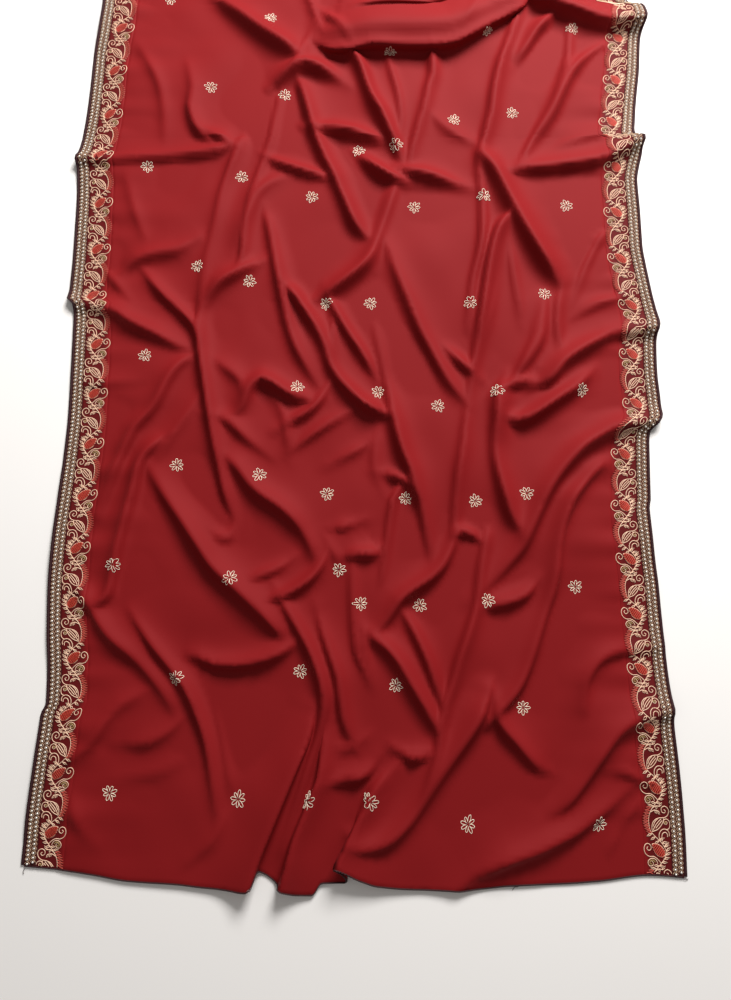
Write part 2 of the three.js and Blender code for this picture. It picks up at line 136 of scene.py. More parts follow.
# Folds: width of the steep side, reach of the soft back, and the foot's line with the height
# at each of its places. Walking along it, the steep side drops to the right. A last value,
# where there is one, is how far the crest leans out over the steep side.
FOLDS = (
    # Near left quarter
    (15, 22, [(-326, 290, 4), (-310, 272, 8), (-289, 242, 9), (-253, 211, 7), (-226, 180, 5),
              (-214, 158, 2)]),
    (12, 14, [(-262, 262, 3), (-237, 230, 8), (-209, 198, 9), (-195, 176, 10), (-178, 134, 9),
              (-169, 90, 6), (-163, 44, 2)]),
    (12, 14, [(-178, 192, 1), (-164, 148, 3), (-152, 92, 3)]),
    (15, 18, [(-322, 106, 3), (-295, 123, 6), (-281, 146, 6), (-264, 165, 5), (-242, 177, 2)]),
    (14, 18, [(-264, 123, 2), (-242, 124, 5), (-223, 130, 5), (-207, 141, 4), (-195, 154, 2)]),
    (14, 18, [(-262, 88, 1), (-224, 93, 3), (-192, 108, 1)]),
    (14, 14, [(-318, 62, 2), (-311, 43, 3), (-296, 26, 1)]),
    (14, 20, [(-176, 10, 2), (-160, 24, 4), (-148, 44, 3)]),
    (12, 18, [(-204, 220, 1), (-186, 217, 6), (-167, 210, 10), (-140, 209, 11), (-112, 214, 11),
              (-92, 222, 9), (-76, 232, 4)]),
    (18, 26, [(-254, 430, 3), (-234, 400, 9), (-214, 372, 12), (-195, 344, 14), (-176, 317, 14),
              (-150, 293, 13), (-128, 273, 11), (-108, 253, 8), (-92, 238, 3)]),
    (10, 10, [(-128, 288, 2), (-114, 268, 6), (-102, 250, 5)]),
    (13, 30, [(-140, -70, 14), (-119, 0, 14), (-100, 48, 14), (-78, 101, 13), (-62, 138, 9),
              (-55, 160, 4)], 8),
    (13, 13, [(-104, 292, 3), (-90, 270, 8), (-71, 238, 11), (-59, 212, 11), (-52, 190, 11),
              (-50, 168, 10), (-55, 140, 8), (-66, 108, 6), (-78, 70, 4), (-90, 30, 2)]),
    (12, 14, [(-58, 268, 2), (-50, 243, 7), (-42, 221, 9), (-34, 198, 10), (-30, 170, 10),
              (-25, 146, 8), (-18, 128, 3)]),
    (10, 22, [(-42, 150, 4), (-46, 118, 11), (-50, 92, 14), (-64, 57, 15), (-75, 30, 15),
              (-84, -2, 15), (-104, -70, 15)], 6),
    (11, 10, [(-110, 281, 3), (-94, 285, 9), (-78, 291, 11), (-60, 304, 11), (-46, 321, 8),
              (-38, 342, 3)]),
    (10, 12, [(-134, 302, 2), (-116, 308, 7), (-98, 315, 6), (-84, 324, 2)]),
    (11, 18, [(-40, 80, 3), (-26, 87, 8), (-8, 90, 10), (4, 96, 7), (14, 108, 2)]),
    (11, 16, [(-34, 122, 2), (-20, 118, 5), (-6, 126, 3)]),
    (11, 34, [(24, 104, 4), (8, 87, 9), (-1, 66, 12), (-6, 44, 13), (-9, 18, 14), (-10, 0, 14),
              (-14, -70, 14)]),
    (11, 34, [(-2, 62, 1), (-6, 44, 4), (-9, 18, 8), (-10, 0, 11), (-14, -70, 12)], 27),
    # Near right quarter
    (9, 9, [(-19, 322, 3), (-18, 286, 5), (-16, 250, 6), (-12, 224, 6), (-3, 202, 3)]),
    (8, 8, [(-8, 258, 3), (-6, 235, 6), (-1, 214, 3)]),
    (16, 13, [(-6, 248, 3), (6, 238, 8), (20, 228, 11), (33, 212, 12), (44, 193, 12),
              (56, 173, 12), (68, 152, 10), (75, 136, 4)]),
    (12, 11, [(36, 272, 3), (49, 250, 8), (58, 231, 9), (66, 212, 9), (73, 190, 8), (81, 166, 4)]),
    (13, 18, [(14, 242, 4), (30, 263, 8), (42, 281, 12), (58, 293, 13), (75, 304, 13),
              (89, 318, 12), (98, 334, 10), (106, 352, 6)]),
    (11, 14, [(132, 352, 6), (127, 326, 7), (119, 277, 9), (110, 248, 10), (101, 224, 10),
              (93, 198, 9), (84, 172, 9), (78, 146, 9), (74, 122, 9), (66, 98, 9), (57, 76, 6)]),
    (15, 24, [(-10, 24, 5), (4, 17, 10), (18, 19, 12), (31, 26, 13), (45, 40, 12), (59, 57, 11),
              (86, 95, 11), (103, 118, 13), (119, 140, 15), (130, 159, 15), (138, 178, 8)]),
    (12, 18, [(142, 153, 8), (158, 170, 11), (170, 185, 11), (179, 202, 10), (187, 221, 9),
              (203, 265, 8), (213, 292, 9), (219, 318, 9), (222, 342, 8), (228, 369, 9),
              (237, 391, 11), (245, 404, 11), (257, 418, 9), (270, 431, 6), (284, 441, 2)]),
    (14, 18, [(134, 270, 3), (148, 274, 9), (165, 278, 10), (182, 286, 9), (195, 299, 4)]),
    (14, 22, [(136, 172, 6), (141, 152, 10), (150, 138, 10), (161, 126, 9), (175, 109, 8),
              (188, 97, 5), (204, 91, 2)]),
    (15, 24, [(92, -30, 2), (112, -14, 4), (131, -4, 8), (156, 7, 12), (181, 15, 12),
              (206, 26, 11), (226, 35, 10), (243, 46, 8), (258, 56, 6), (282, 74, 3)]),
    (15, 24, [(196, 48, 2), (219, 64, 8), (233, 81, 10), (246, 98, 11), (258, 115, 11),
              (270, 130, 10), (284, 143, 9), (304, 152, 8), (340, 160, 7)]),
    (13, 20, [(245, 174, 3), (247, 193, 6), (256, 209, 7), (268, 218, 7), (284, 223, 6),
              (312, 226, 4)]),
    (12, 12, [(266, 95, 2), (280, 94, 5), (294, 88, 4)]),
    (12, 12, [(256, -2, 2), (264, 18, 3), (278, 42, 3), (292, 60, 2)]),
    (11, 13, [(36, 117, 4), (50, 111, 9), (64, 113, 7)]),
    # Middle left
    (11, 14, [(-268, 672, 3), (-253, 653, 7), (-225, 625, 8), (-210, 610, 9), (-202, 594, 7)]),
    (11, 16, [(-162, 846, 6), (-168, 828, 7), (-180, 788, 5), (-188, 740, 4), (-198, 690, 3),
              (-202, 640, 5), (-202, 606, 9), (-199, 575, 11), (-193, 541, 11), (-187, 508, 11),
              (-180, 470, 9), (-172, 435, 8), (-165, 405, 8), (-156, 378, 3)]),
    (15, 20, [(-400, 640, 6), (-350, 632, 6), (-303, 622, 9), (-288, 612, 10), (-270, 602, 10),
              (-253, 594, 10), (-238, 586, 8), (-222, 578, 5), (-208, 574, 2)]),
    (12, 15, [(-298, 388, 3), (-289, 417, 6), (-281, 442, 8), (-265, 480, 9), (-250, 497, 9),
              (-239, 514, 9), (-231, 533, 9), (-222, 550, 8), (-212, 561, 6), (-200, 566, 2)]),
    (11, 14, [(-312, 274, 3), (-297, 277, 8), (-285, 287, 9), (-280, 312, 9), (-275, 348, 9),
              (-263, 405, 10), (-258, 433, 11), (-252, 448, 10), (-242, 459, 8), (-230, 470, 3)]),
    (14, 14, [(-230, 452, 3), (-219, 472, 5), (-203, 496, 4), (-192, 516, 2)]),
    (16, 18, [(-186, 562, 2), (-167, 550, 5), (-153, 538, 6), (-147, 522, 5)]),
    (13, 16, [(-150, 494, 3), (-139, 505, 7), (-131, 527, 11), (-121, 536, 13), (-108, 530, 13),
              (-94, 520, 13), (-80, 515, 10), (-64, 513, 4)]),
    (9, 11, [(-96, 480, 3), (-78, 491, 8), (-63, 500, 9), (-52, 512, 8), (-43, 528, 4)]),
    (9, 12, [(-82, 454, 2), (-60, 471, 6), (-40, 485, 6), (-22, 496, 3)]),
    (12, 13, [(-98, 658, 5), (-91, 648, 12), (-81, 633, 13), (-70, 616, 12), (-59, 597, 10),
              (-51, 578, 9), (-46, 560, 9), (-37, 543, 10), (-25, 528, 12), (-10, 512, 14),
              (4, 502, 15), (18, 497, 9)]),
    (10, 11, [(-50, 650, 3), (-40, 628, 8), (-25, 600, 9), (-14, 583, 9), (-2, 563, 8),
              (7, 544, 3)]),
    (8, 8, [(-45, 640, 2), (-42, 600, 4), (-42, 560, 2)]),
    (13, 15, [(-128, 756, 2), (-121, 730, 7), (-111, 678, 9), (-100, 625, 9), (-95, 603, 8),
              (-86, 578, 8), (-75, 557, 6), (-60, 530, 2)]),
    (13, 17, [(-186, 494, 2), (-167, 489, 6), (-153, 478, 7), (-139, 464, 5), (-120, 449, 2)]),
    (14, 14, [(-116, 524, 1), (-102, 500, 4), (-96, 470, 4), (-94, 450, 1)]),
    (17, 22, [(-168, 446, 3), (-151, 431, 9), (-136, 411, 11), (-120, 397, 12), (-103, 386, 12),
              (-87, 372, 11), (-76, 358, 8), (-67, 341, 7), (-62, 322, 3)]),
    (13, 14, [(-178, 358, 3), (-163, 349, 7), (-149, 354, 5), (-143, 372, 2)]),
    (9, 10, [(-36, 362, 2), (-24, 363, 5), (-8, 368, 2)]),
    (12, 14, [(-50, 350, 2), (-42, 337, 4), (-36, 326, 2)]),
    (11, 12, [(-34, 438, 2), (-12, 450, 5), (2, 458, 3)]),
    (14, 16, [(-318, 532, 4), (-292, 533, 3), (-266, 534, 1)]),
    (13, 15, [(-320, 680, 3), (-303, 658, 4), (-284, 634, 1)]),
    # Middle right
    (14, 20, [(16, 726, 2), (30, 682, 6), (39, 657, 8), (50, 628, 9), (61, 600, 10), (72, 578, 10),
              (83, 556, 10), (95, 534, 8), (112, 512, 3)]),
    (12, 12, [(86, 584, 2), (96, 573, 6), (106, 563, 9), (117, 553, 9), (125, 545, 4)]),
    (11, 14, [(182, 762, 3), (169, 750, 9), (159, 735, 12), (152, 716, 12), (146, 690, 12),
              (141, 661, 12), (137, 636, 12), (130, 594, 9), (124, 562, 8), (118, 525, 4),
              (113, 495, 5), (109, 464, 7), (104, 436, 8), (100, 405, 7), (96, 365, 6),
              (91, 336, 3)]),
    (9, 9, [(137, 824, 4), (138, 800, 5), (140, 770, 6), (139, 730, 8), (134, 700, 7),
            (127, 674, 6), (122, 640, 4), (119, 615, 2)]),
    (8, 9, [(154, 660, 2), (147, 628, 4), (139, 596, 3), (133, 574, 1)]),
    (13, 24, [(158, 544, 3), (151, 525, 12), (149, 506, 14), (147, 484, 12), (145, 462, 9),
              (146, 442, 10), (150, 420, 12), (155, 399, 13), (161, 379, 11), (170, 359, 6)]),
    (8, 10, [(170, 542, 3), (160, 518, 5), (155, 490, 5), (157, 462, 2)]),
    (13, 15, [(156, 495, 3), (167, 489, 8), (182, 487, 13), (198, 494, 14), (215, 505, 14),
              (231, 516, 13), (245, 525, 11), (257, 535, 7), (270, 548, 2)]),
    (14, 20, [(204, 530, 4), (216, 535, 10), (225, 544, 13), (234, 556, 14), (248, 567, 14),
              (265, 578, 13), (281, 587, 11), (298, 594, 9), (345, 600, 8), (390, 602, 8)]),
    (12, 12, [(160, 522, 4), (172, 530, 9), (188, 534, 7), (204, 532, 3)]),
    (10, 11, [(205, 628, 2), (200, 610, 4), (195, 592, 6), (187, 575, 7), (179, 558, 7),
              (170, 542, 3)]),
    (13, 14, [(184, 544, 2), (196, 562, 7), (208, 582, 8), (215, 604, 6), (219, 636, 3)]),
    (11, 12, [(232, 660, 3), (226, 633, 5), (224, 600, 5), (226, 572, 2)]),
    (13, 20, [(6, 606, 2), (13, 572, 4), (19, 542, 5), (24, 517, 8), (29, 492, 12), (34, 469, 14),
              (40, 449, 14), (48, 430, 13), (53, 411, 12), (59, 392, 9), (63, 370, 8),
              (67, 345, 6), (71, 322, 2)]),
    (11, 11, [(20, 424, 3), (34, 421, 8), (44, 416, 8), (52, 408, 4)]),
    (8, 9, [(36, 414, 5), (28, 398, 7), (24, 372, 6), (20, 344, 5), (16, 316, 3)]),
    (12, 14, [(-22, 328, 3), (-8, 331, 9), (5, 331, 10), (16, 334, 6), (24, 344, 2)]),
    (12, 12, [(11, 482, 1), (6, 456, 4), (6, 430, 3), (12, 412, 1)]),
    (10, 12, [(98, 350, 3), (108, 357, 8), (118, 355, 8), (128, 348, 3)]),
    (16, 22, [(128, 282, 3), (150, 304, 5), (167, 323, 8), (181, 340, 10), (192, 362, 12),
              (203, 386, 13), (214, 408, 14), (228, 428, 15), (242, 444, 16), (256, 457, 16),
              (272, 467, 15), (289, 476, 13), (310, 482, 11), (345, 486, 9), (390, 489, 9)]),
    (12, 14, [(258, 620, 2), (272, 628, 4), (286, 634, 5), (306, 639, 4)]),
    # Upper left
    (10, 18, [(-400, 820, 7), (-350, 822, 7), (-317, 822, 7), (-289, 824, 7), (-262, 826, 7),
              (-234, 828, 7), (-206, 831, 8), (-184, 834, 8), (-164, 842, 4)]),
    (12, 20, [(-228, 950, 2), (-223, 926, 4), (-225, 900, 7), (-220, 880, 8), (-212, 864, 8),
              (-203, 854, 6), (-192, 846, 2)]),
    (11, 14, [(-210, 866, 3), (-196, 858, 7), (-182, 853, 8), (-168, 843, 3)]),
    (19, 22, [(-204, 1056, 3), (-184, 1040, 10), (-165, 1025, 13), (-150, 1012, 14),
              (-134, 999, 15), (-118, 987, 16), (-102, 976, 14), (-88, 966, 6)]),
    (10, 14, [(-78, 996, 4), (-84, 978, 8), (-92, 962, 8), (-102, 948, 4)]),
    (16, 15, [(-112, 926, 5), (-101, 936, 11), (-88, 946, 14), (-74, 951, 15), (-58, 946, 13),
              (-44, 938, 7), (-32, 930, 2)]),
    (13, 18, [(-90, 938, 4), (-84, 922, 9), (-78, 901, 11), (-72, 878, 12), (-66, 856, 12),
              (-58, 835, 12), (-50, 817, 12), (-42, 801, 12), (-36, 784, 11), (-28, 765, 12),
              (-20, 744, 13), (-11, 729, 9), (0, 716, 3)]),
    (15, 14, [(-72, 866, 4), (-58, 863, 10), (-38, 862, 13), (-16, 858, 13), (4, 852, 9)]),
    (11, 11, [(-126, 828, 3), (-112, 820, 7), (-95, 813, 9), (-78, 807, 9), (-62, 802, 8),
              (-46, 798, 4)]),
    (17, 18, [(-150, 704, 2), (-142, 735, 6), (-134, 757, 7), (-126, 777, 7), (-113, 790, 5),
              (-96, 797, 2)]),
    (9, 12, [(-106, 930, 2), (-112, 912, 5), (-118, 880, 5), (-123, 854, 5), (-130, 829, 5),
             (-138, 802, 5), (-145, 777, 6), (-148, 750, 7), (-151, 722, 8), (-153, 698, 7),
             (-160, 680, 2)]),
    (16, 20, [(-286, 676, 4), (-272, 688, 8), (-250, 695, 8), (-226, 699, 7), (-206, 711, 3)]),
    (14, 16, [(-298, 790, 2), (-288, 756, 3), (-276, 724, 2)]),
    (14, 16, [(-192, 622, 2), (-182, 643, 7), (-171, 658, 11), (-156, 668, 11), (-141, 677, 8),
              (-126, 684, 3)]),
    (14, 18, [(-294, 984, 1), (-279, 958, 4), (-266, 930, 4), (-259, 893, 3), (-257, 850, 1)]),
    (13, 13, [(-82, 1072, 4), (-74, 1046, 5), (-66, 1022, 5), (-52, 1000, 3)]),
    # Upper right, with the tall crosswise roll
    (36, 62, [(-58, 998, 6), (-40, 994, 13), (-20, 994, 18), (4, 997, 21), (30, 998, 22),
              (60, 997, 23), (86, 998, 23), (108, 1001, 22), (126, 1010, 21), (142, 1020, 20),
              (158, 1030, 18), (175, 1040, 17), (192, 1050, 15), (208, 1064, 10)], 5),
    (15, 34, [(-57, 988, 5), (-42, 982, 10), (-20, 981, 14), (4, 985, 16), (30, 985, 16),
              (60, 984, 16), (86, 984, 16), (108, 987, 16), (126, 997, 15), (142, 1007, 14),
              (158, 1018, 13), (175, 1029, 12), (192, 1040, 11), (208, 1055, 6)], 13),
    (9, 16, [(-24, 1036, 3), (0, 1044, 10), (40, 1046, 12), (80, 1048, 12), (112, 1056, 11),
             (140, 1070, 8), (166, 1086, 4)], 5),
    (11, 9, [(119, 1006, 2), (125, 1018, 7), (133, 1032, 10), (144, 1048, 10), (156, 1064, 6)]),
    (13, 12, [(-58, 1032, 4), (-47, 1024, 11), (-36, 1014, 13), (-28, 1002, 8)]),
    (20, 24, [(196, 1070, 6), (212, 1054, 13), (228, 1043, 17), (250, 1036, 18), (275, 1026, 18),
              (296, 1019, 17), (322, 1017, 15), (356, 1018, 14), (400, 1018, 14)], 8),
    (13, 16, [(194, 958, 2), (204, 974, 8), (213, 989, 10), (222, 1004, 11), (233, 1017, 11),
              (246, 1032, 5)]),
    (11, 16, [(196, 1048, 4), (189, 1028, 7), (178, 993, 8), (170, 971, 9), (164, 949, 10),
              (158, 921, 10), (154, 893, 10), (148, 870, 10), (143, 851, 9), (139, 832, 7),
              (136, 814, 3)]),
    (16, 22, [(134, 842, 3), (142, 826, 11), (153, 808, 15), (164, 784, 15), (174, 762, 15),
              (188, 731, 16), (203, 703, 17), (214, 684, 15), (224, 667, 8), (231, 652, 2)]),
    (10, 14, [(264, 1036, 2), (258, 1010, 4), (255, 980, 6), (250, 957, 7), (242, 932, 8),
              (231, 904, 8), (212, 869, 8), (203, 853, 7), (194, 835, 6), (183, 816, 3)]),
    (12, 14, [(214, 848, 2), (226, 866, 6), (239, 888, 9), (247, 907, 10), (256, 927, 10),
              (264, 943, 10), (274, 958, 9), (286, 970, 7), (302, 982, 4)]),
    (14, 22, [(174, 804, 3), (190, 808, 8), (211, 811, 10), (231, 813, 11), (253, 816, 11),
              (275, 819, 11), (297, 824, 11), (322, 836, 11), (350, 850, 11), (392, 860, 11)], 4),
    (13, 14, [(236, 838, 1), (264, 848, 4), (292, 855, 3)]),
    (15, 14, [(42, 807, 6), (57, 803, 11), (75, 799, 12), (92, 794, 10), (109, 788, 6),
              (128, 783, 2)]),
    (15, 13, [(-14, 830, 3), (0, 818, 11), (14, 806, 15), (30, 797, 13), (46, 791, 7),
              (60, 788, 2)]),
    (16, 12, [(-50, 640, 5), (-34, 651, 12), (-14, 666, 15), (5, 684, 14), (16, 706, 9),
              (26, 736, 7), (36, 768, 7), (48, 806, 4)]),
    (13, 11, [(-32, 986, 5), (-18, 970, 11), (-9, 950, 12), (-3, 929, 12), (5, 906, 13),
              (14, 889, 14), (22, 871, 13), (29, 855, 12), (36, 838, 8), (40, 820, 3)]),
    (8, 8, [(24, 978, 2), (30, 949, 4), (38, 915, 4), (41, 880, 3), (39, 850, 2)]),
    (11, 13, [(78, 1000, 4), (81, 968, 9), (81, 946, 9), (76, 928, 8), (70, 900, 7), (62, 872, 7),
              (54, 842, 6), (48, 814, 3)]),
    (14, 20, [(72, 892, 1), (97, 866, 4), (114, 855, 4), (136, 843, 1)]),
    (9, 11, [(294, 742, 2), (276, 712, 4), (262, 684, 4), (246, 642, 1)]),
    (10, 11, [(170, 716, 2), (174, 680, 4), (179, 640, 3), (181, 616, 1)]),
    # Far half
    (20, 24, [(-250, 1120, 8), (-170, 1210, 18), (-60, 1290, 8)]),
    (18, 21, [(300, 1110, 6), (220, 1180, 16), (120, 1230, 6)]),
    (16, 24, [(-20, 1120, 9), (10, 1240, 21), (-30, 1380, 9)]),
    (14, 21, [(-400, 1300, 14), (-310, 1310, 14), (-200, 1350, 6)]),
    (16, 21, [(120, 1300, 8), (150, 1420, 18), (110, 1540, 8)]),
    (14, 21, [(390, 1330, 16), (300, 1350, 16), (230, 1400, 6)]),
    (18, 24, [(-180, 1400, 9), (-140, 1500, 21), (-60, 1590, 9)]),
    (16, 18, [(-290, 1470, 6), (-260, 1580, 14), (-280, 1690, 6)]),
    (14, 21, [(40, 1480, 8), (60, 1600, 18), (20, 1720, 8)]),
    (16, 21, [(240, 1500, 6), (250, 1610, 16), (200, 1720, 6)]),
    (16, 24, [(-110, 1640, 8), (-90, 1760, 18), (-130, 1880, 8)]),
    (14, 21, [(-400, 1760, 14), (-310, 1770, 14), (-230, 1810, 6)]),
    (16, 21, [(110, 1700, 9), (90, 1840, 21), (130, 1960, 9)]),
    (14, 21, [(390, 1720, 16), (300, 1760, 16), (260, 1840, 6)]),
    (16, 21, [(-20, 1800, 9), (-40, 1940, 21), (-20, 2080, 9)]),
    (16, 21, [(-240, 1900, 6), (-200, 2000, 16), (-220, 2100, 6)]),
    (16, 21, [(30, 1960, 9), (50, 2080, 21), (40, 2240, 21)]),
    (14, 18, [(-70, 2020, 9), (-90, 2120, 21), (-80, 2240, 21)]),
    (16, 21, [(200, 1930, 6), (230, 2030, 16), (180, 2110, 6)]),
    (14, 18, [(110, 2080, 6), (130, 2160, 16), (120, 2240, 16)]),
    (18, 21, [(-330, 2120, 6), (-260, 2080, 14), (-180, 2050, 6)]),
    (14, 18, [(-160, 1080, 4), (-210, 1180, 10), (-200, 1280, 4)]),
    (14, 16, [(60, 1130, 3), (100, 1190, 9), (80, 1290, 3)]),
    (14, 18, [(270, 1230, 4), (240, 1310, 10), (190, 1370, 4)]),
    (12, 16, [(-80, 1350, 3), (-110, 1430, 9), (-60, 1500, 3)]),
    (14, 18, [(180, 1560, 4), (160, 1650, 10), (190, 1730, 4)]),
    (12, 16, [(-200, 1620, 3), (-180, 1720, 9), (-210, 1800, 3)]),
    (14, 18, [(10, 1740, 4), (50, 1800, 10), (20, 1880, 4)]),
    (12, 16, [(-130, 1960, 3), (-150, 2040, 9), (-120, 2120, 3)]),
)


def smooth(t):
    """A soft rise from 0 to 1 as t goes from 0 to 1."""
    t = np.clip(t, 0.0, 1.0)
    return t * t * (3.0 - 2.0 * t)


def through(table, at):
    """Value at each place on a smooth line through a table's rows, with no overshoot."""
    px, py = table[:, 0], table[:, 1]
    slope = np.diff(py) / np.diff(px)
    before, after = slope[:-1], slope[1:]
    same_way = before * after > 0
    inner = np.where(same_way, 2 * before * after / np.where(same_way, before + after, 1.0), 0.0)
    tangent = np.concatenate([slope[:1], inner, slope[-1:]])
    k = np.clip(np.searchsorted(px, at) - 1, 0, len(px) - 2)
    gap = px[k + 1] - px[k]
    t = np.clip((at - px[k]) / gap, 0.0, 1.0)
    ease = t * t * (3 - 2 * t)
    lead_in = gap * t * (1 - t) ** 2 * tangent[k]
    lead_out = gap * t * t * (t - 1) * tangent[k + 1]
    return py[k] * (1 - ease) + py[k + 1] * ease + lead_in + lead_out


def left_edge(y):
    return through(LEFT_EDGE, y)


def right_edge(y):
    return through(RIGHT_EDGE, y)


def curve_points(corners, step):
    """Points about a step apart on a smooth curve through the corners."""
    corners = np.array(corners, float)
    ends = (2 * corners[0] - corners[1], 2 * corners[-1] - corners[-2])
    guide = np.vstack([ends[0], corners, ends[1]])
    out = []
    for a, b, c, d in zip(guide, guide[1:], guide[2:], guide[3:]):
        count = max(2, int(np.linalg.norm(c - b) / step))
        t = np.linspace(0, 1, count, endpoint=False)[:, None]
        cubic = (-a + 3 * b - 3 * c + d) * t ** 3 + (2 * a - 5 * b + 4 * c - d) * t * t
        out.append(0.5 * (2 * b + (c - a) * t + cubic))
    return np.vstack(out + [corners[-1:]])


def fold_line(knots):
    """Points and heights along a fold, run on past both ends until it has sunk to nothing."""
    knots = np.array(knots, float)
    line = curve_points(knots, FOLD_STEP)
    before, after = line[0] - line[1], line[-1] - line[-2]
    count = int(FOLD_RUN_ON // FOLD_STEP)
    for way in (before, after):
        way *= FOLD_STEP / np.hypot(way[0], way[1])
        way[2] = 0.0
    fade = [1 - smooth(k / count) for k in range(1, count + 1)]
    head = [(line[0] + before * k) * (1, 1, fade[k - 1]) for k in range(count, 0, -1)]
    tail = [(line[-1] + after * k) * (1, 1, fade[k - 1]) for k in range(1, count + 1)]
    return np.vstack(head + [line] + tail)


def add_fold(x, y, total, fold):
    """Adds one fold's lean and lift to the totals for the places it reaches."""
    steep, back, knots = fold[:3]
    whole = fold_line(knots)
    line, height = whole[:, :2], whole[:, 2]
    steep_fall, back_fall, rounding = steep * STEEP_FALL, back * BACK_FALL, steep * CREST_ROUND
    reach = max(steep_fall, back_fall) * FALLS_REACHED + steep
    low, top = line.min(0) - reach, line.max(0) + reach
    near = np.flatnonzero((x > low[0]) & (x < top[0]) & (y > low[1]) & (y < top[1]))
    if not len(near):
        return
    px, py = x[near], y[near]
    nearest = np.full(len(near), np.inf)
    side, along = np.zeros(len(near)), np.zeros(len(near))
    out_x, out_y = np.zeros(len(near)), np.zeros(len(near))
    lengths = np.hypot(*np.diff(line, axis=0).T)
    starts = np.concatenate([[0], np.cumsum(lengths)])
    for (ax, ay), (bx, by), start, length in zip(line, line[1:], starts, lengths):
        ux, uy = (bx - ax) / length, (by - ay) / length
        run = np.clip((px - ax) * ux + (py - ay) * uy, 0, length)
        qx, qy = px - ax - run * ux, py - ay - run * uy
        distance = np.hypot(qx, qy)
        closer = distance < nearest
        nearest = np.where(closer, distance, nearest)
        side = np.where(closer, np.where(ux * qy - uy * qx >= 0, distance, -distance), side)
        along = np.where(closer, start + run, along)
        out_x, out_y = np.where(closer, uy, out_x), np.where(closer, -ux, out_y)
    from_crest = side - CREST_AT * steep
    away = np.sqrt(from_crest ** 2 + rounding ** 2) - rounding
    high = FOLD_GAIN * np.interp(along, starts, height)
    shape = np.exp(-away / np.where(from_crest < 0, steep_fall, back_fall))
    lean = fold[3] if len(fold) > 3 else CREST_LEAN * steep_fall
    over = lean * shape * np.minimum(high / LEAN_AT, 1.0)
    total[near, 0] += over * out_x
    total[near, 1] += over * out_y
    total[near, 2] += (high * shape) ** JOIN_POWER


# Slow unevenness of the whole cloth about its usual rise: wavelength, height, direction in
# degrees, start
SWELL_RISE = 0.2
SWELLS = (
    (310, 1.0, 20, 0.3), (230, 0.9, 75, 1.9), (190, 0.8, 128, 4.1), (150, 0.7, 52, 2.6),
    (118, 0.6, 8, 5.2), (96, 0.5, 100, 0.9), (74, 0.35, 150, 3.3), (58, 0.25, 35, 1.2),
)


def swell(x, y):
    """The cloth's own slow waves, which no fold of the table gives."""
    total = np.full(np.shape(x), SWELL_RISE)
    for length, high, turn, start in SWELLS:
        way = x * math.cos(math.radians(turn)) + y * math.sin(math.radians(turn))
        total = total + high * np.sin(2 * math.pi * way / length + start)
    return total


# Puckers: height, how far into the field and into the border they reach, two wavelengths
# with the second one's share and start, and how much the first runs aslant
PUCKER_HIGH = 0.9
PUCKER_REACH = 38.0
PUCKER_BORDER_REACH = 12.0
PUCKER_LONG = 47.0
PUCKER_SHORT = 29.0
PUCKER_SHORT_SHARE = 0.6
PUCKER_SHORT_START = 1.7
PUCKER_SLANT = 0.02


def pucker(x, y):
    """Small crosswise waves where the embroidered strips draw the cloth in."""
    inset = np.minimum(x - left_edge(y), right_edge(y) - x) - FIELD_AT
    fade = np.exp(-np.abs(inset) / PUCKER_REACH) * smooth(inset / PUCKER_BORDER_REACH + 1)
    long_wave = np.sin(2 * math.pi * y / PUCKER_LONG + PUCKER_SLANT * x)
    short_wave = np.sin(2 * math.pi * y / PUCKER_SHORT + PUCKER_SHORT_START)
    return PUCKER_HIGH * fade * (long_wave + PUCKER_SHORT_SHARE * short_wave)


def hem_shift(x, y):
    """How far the hems' curves draw a place of the cloth up or down."""
    near = through(NEAR_HEM, x) * (1 - smooth(y / HEM_REACH))
    return near + through(FAR_HEM, x) * (1 - smooth((LAID_LENGTH - y) / HEM_REACH))


def cloth_points(x, y):
    """Underside of the laid cloth over its own plane, as rows of x, y, z in millimetres."""
    x, y = np.asarray(x, float), np.asarray(y, float) + hem_shift(x, y)
    total = np.zeros((len(x), 3))
    for fold in FOLDS:
        add_fold(x, y, total, fold)
    total[:, 2] = total[:, 2] ** (1 / JOIN_POWER)
    total[:, 2] += swell(x, y) + pucker(x, y)
    lift = np.maximum(total[:, 2], 0)
    lift = HIGHEST * np.tanh(lift / HIGHEST)
    return np.column_stack([x + total[:, 0], y + total[:, 1], lift])


def to_part(points):
    """Millimetres in the cloth's plane to metres in the part's frame."""
    return points * MM + np.array([ORIGIN[0], ORIGIN[1], 0.0])


# Stations where a crosswise crease makes a step in a side edge, where the near half ends, and
# how far apart the other stations lie in each half
CREASE_ROWS = (637.0, 640.0, 643.0, 857.0, 858.0, 859.0, 860.0, 1047.0, 1048.0, 1049.0, 1050.0)
NEAR_HALF_END = 1100.0
NEAR_STEP = 4.6
FAR_STEP = 17.5


def rows_between(start, end):
    """Stations up the cloth, closer together in the near half and on the edges' creases."""
    keys = (start,) + CREASE_ROWS + (NEAR_HALF_END, end)
    rows = [start]
    for low, high in zip(keys, keys[1:]):
        step = NEAR_STEP if high <= NEAR_HALF_END else FAR_STEP
        count = max(1, round((high - low) / step))
        rows += [low + (high - low) * (k + 1) / count for k in range(count)]
    return np.array(rows)


def add_piece(name, mesh, material, node=None):
    """A finished piece on the shawl's body, in place of its solid where it has one."""
    mesh.materials.clear()
    mesh.materials.append(material)
    mesh.shade_smooth()
    piece = bpy.data.objects.new(name, mesh)
    bpy.context.scene.collection.objects.link(piece)
    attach(piece, "root")
    if node:
        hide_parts(node)
    return piece


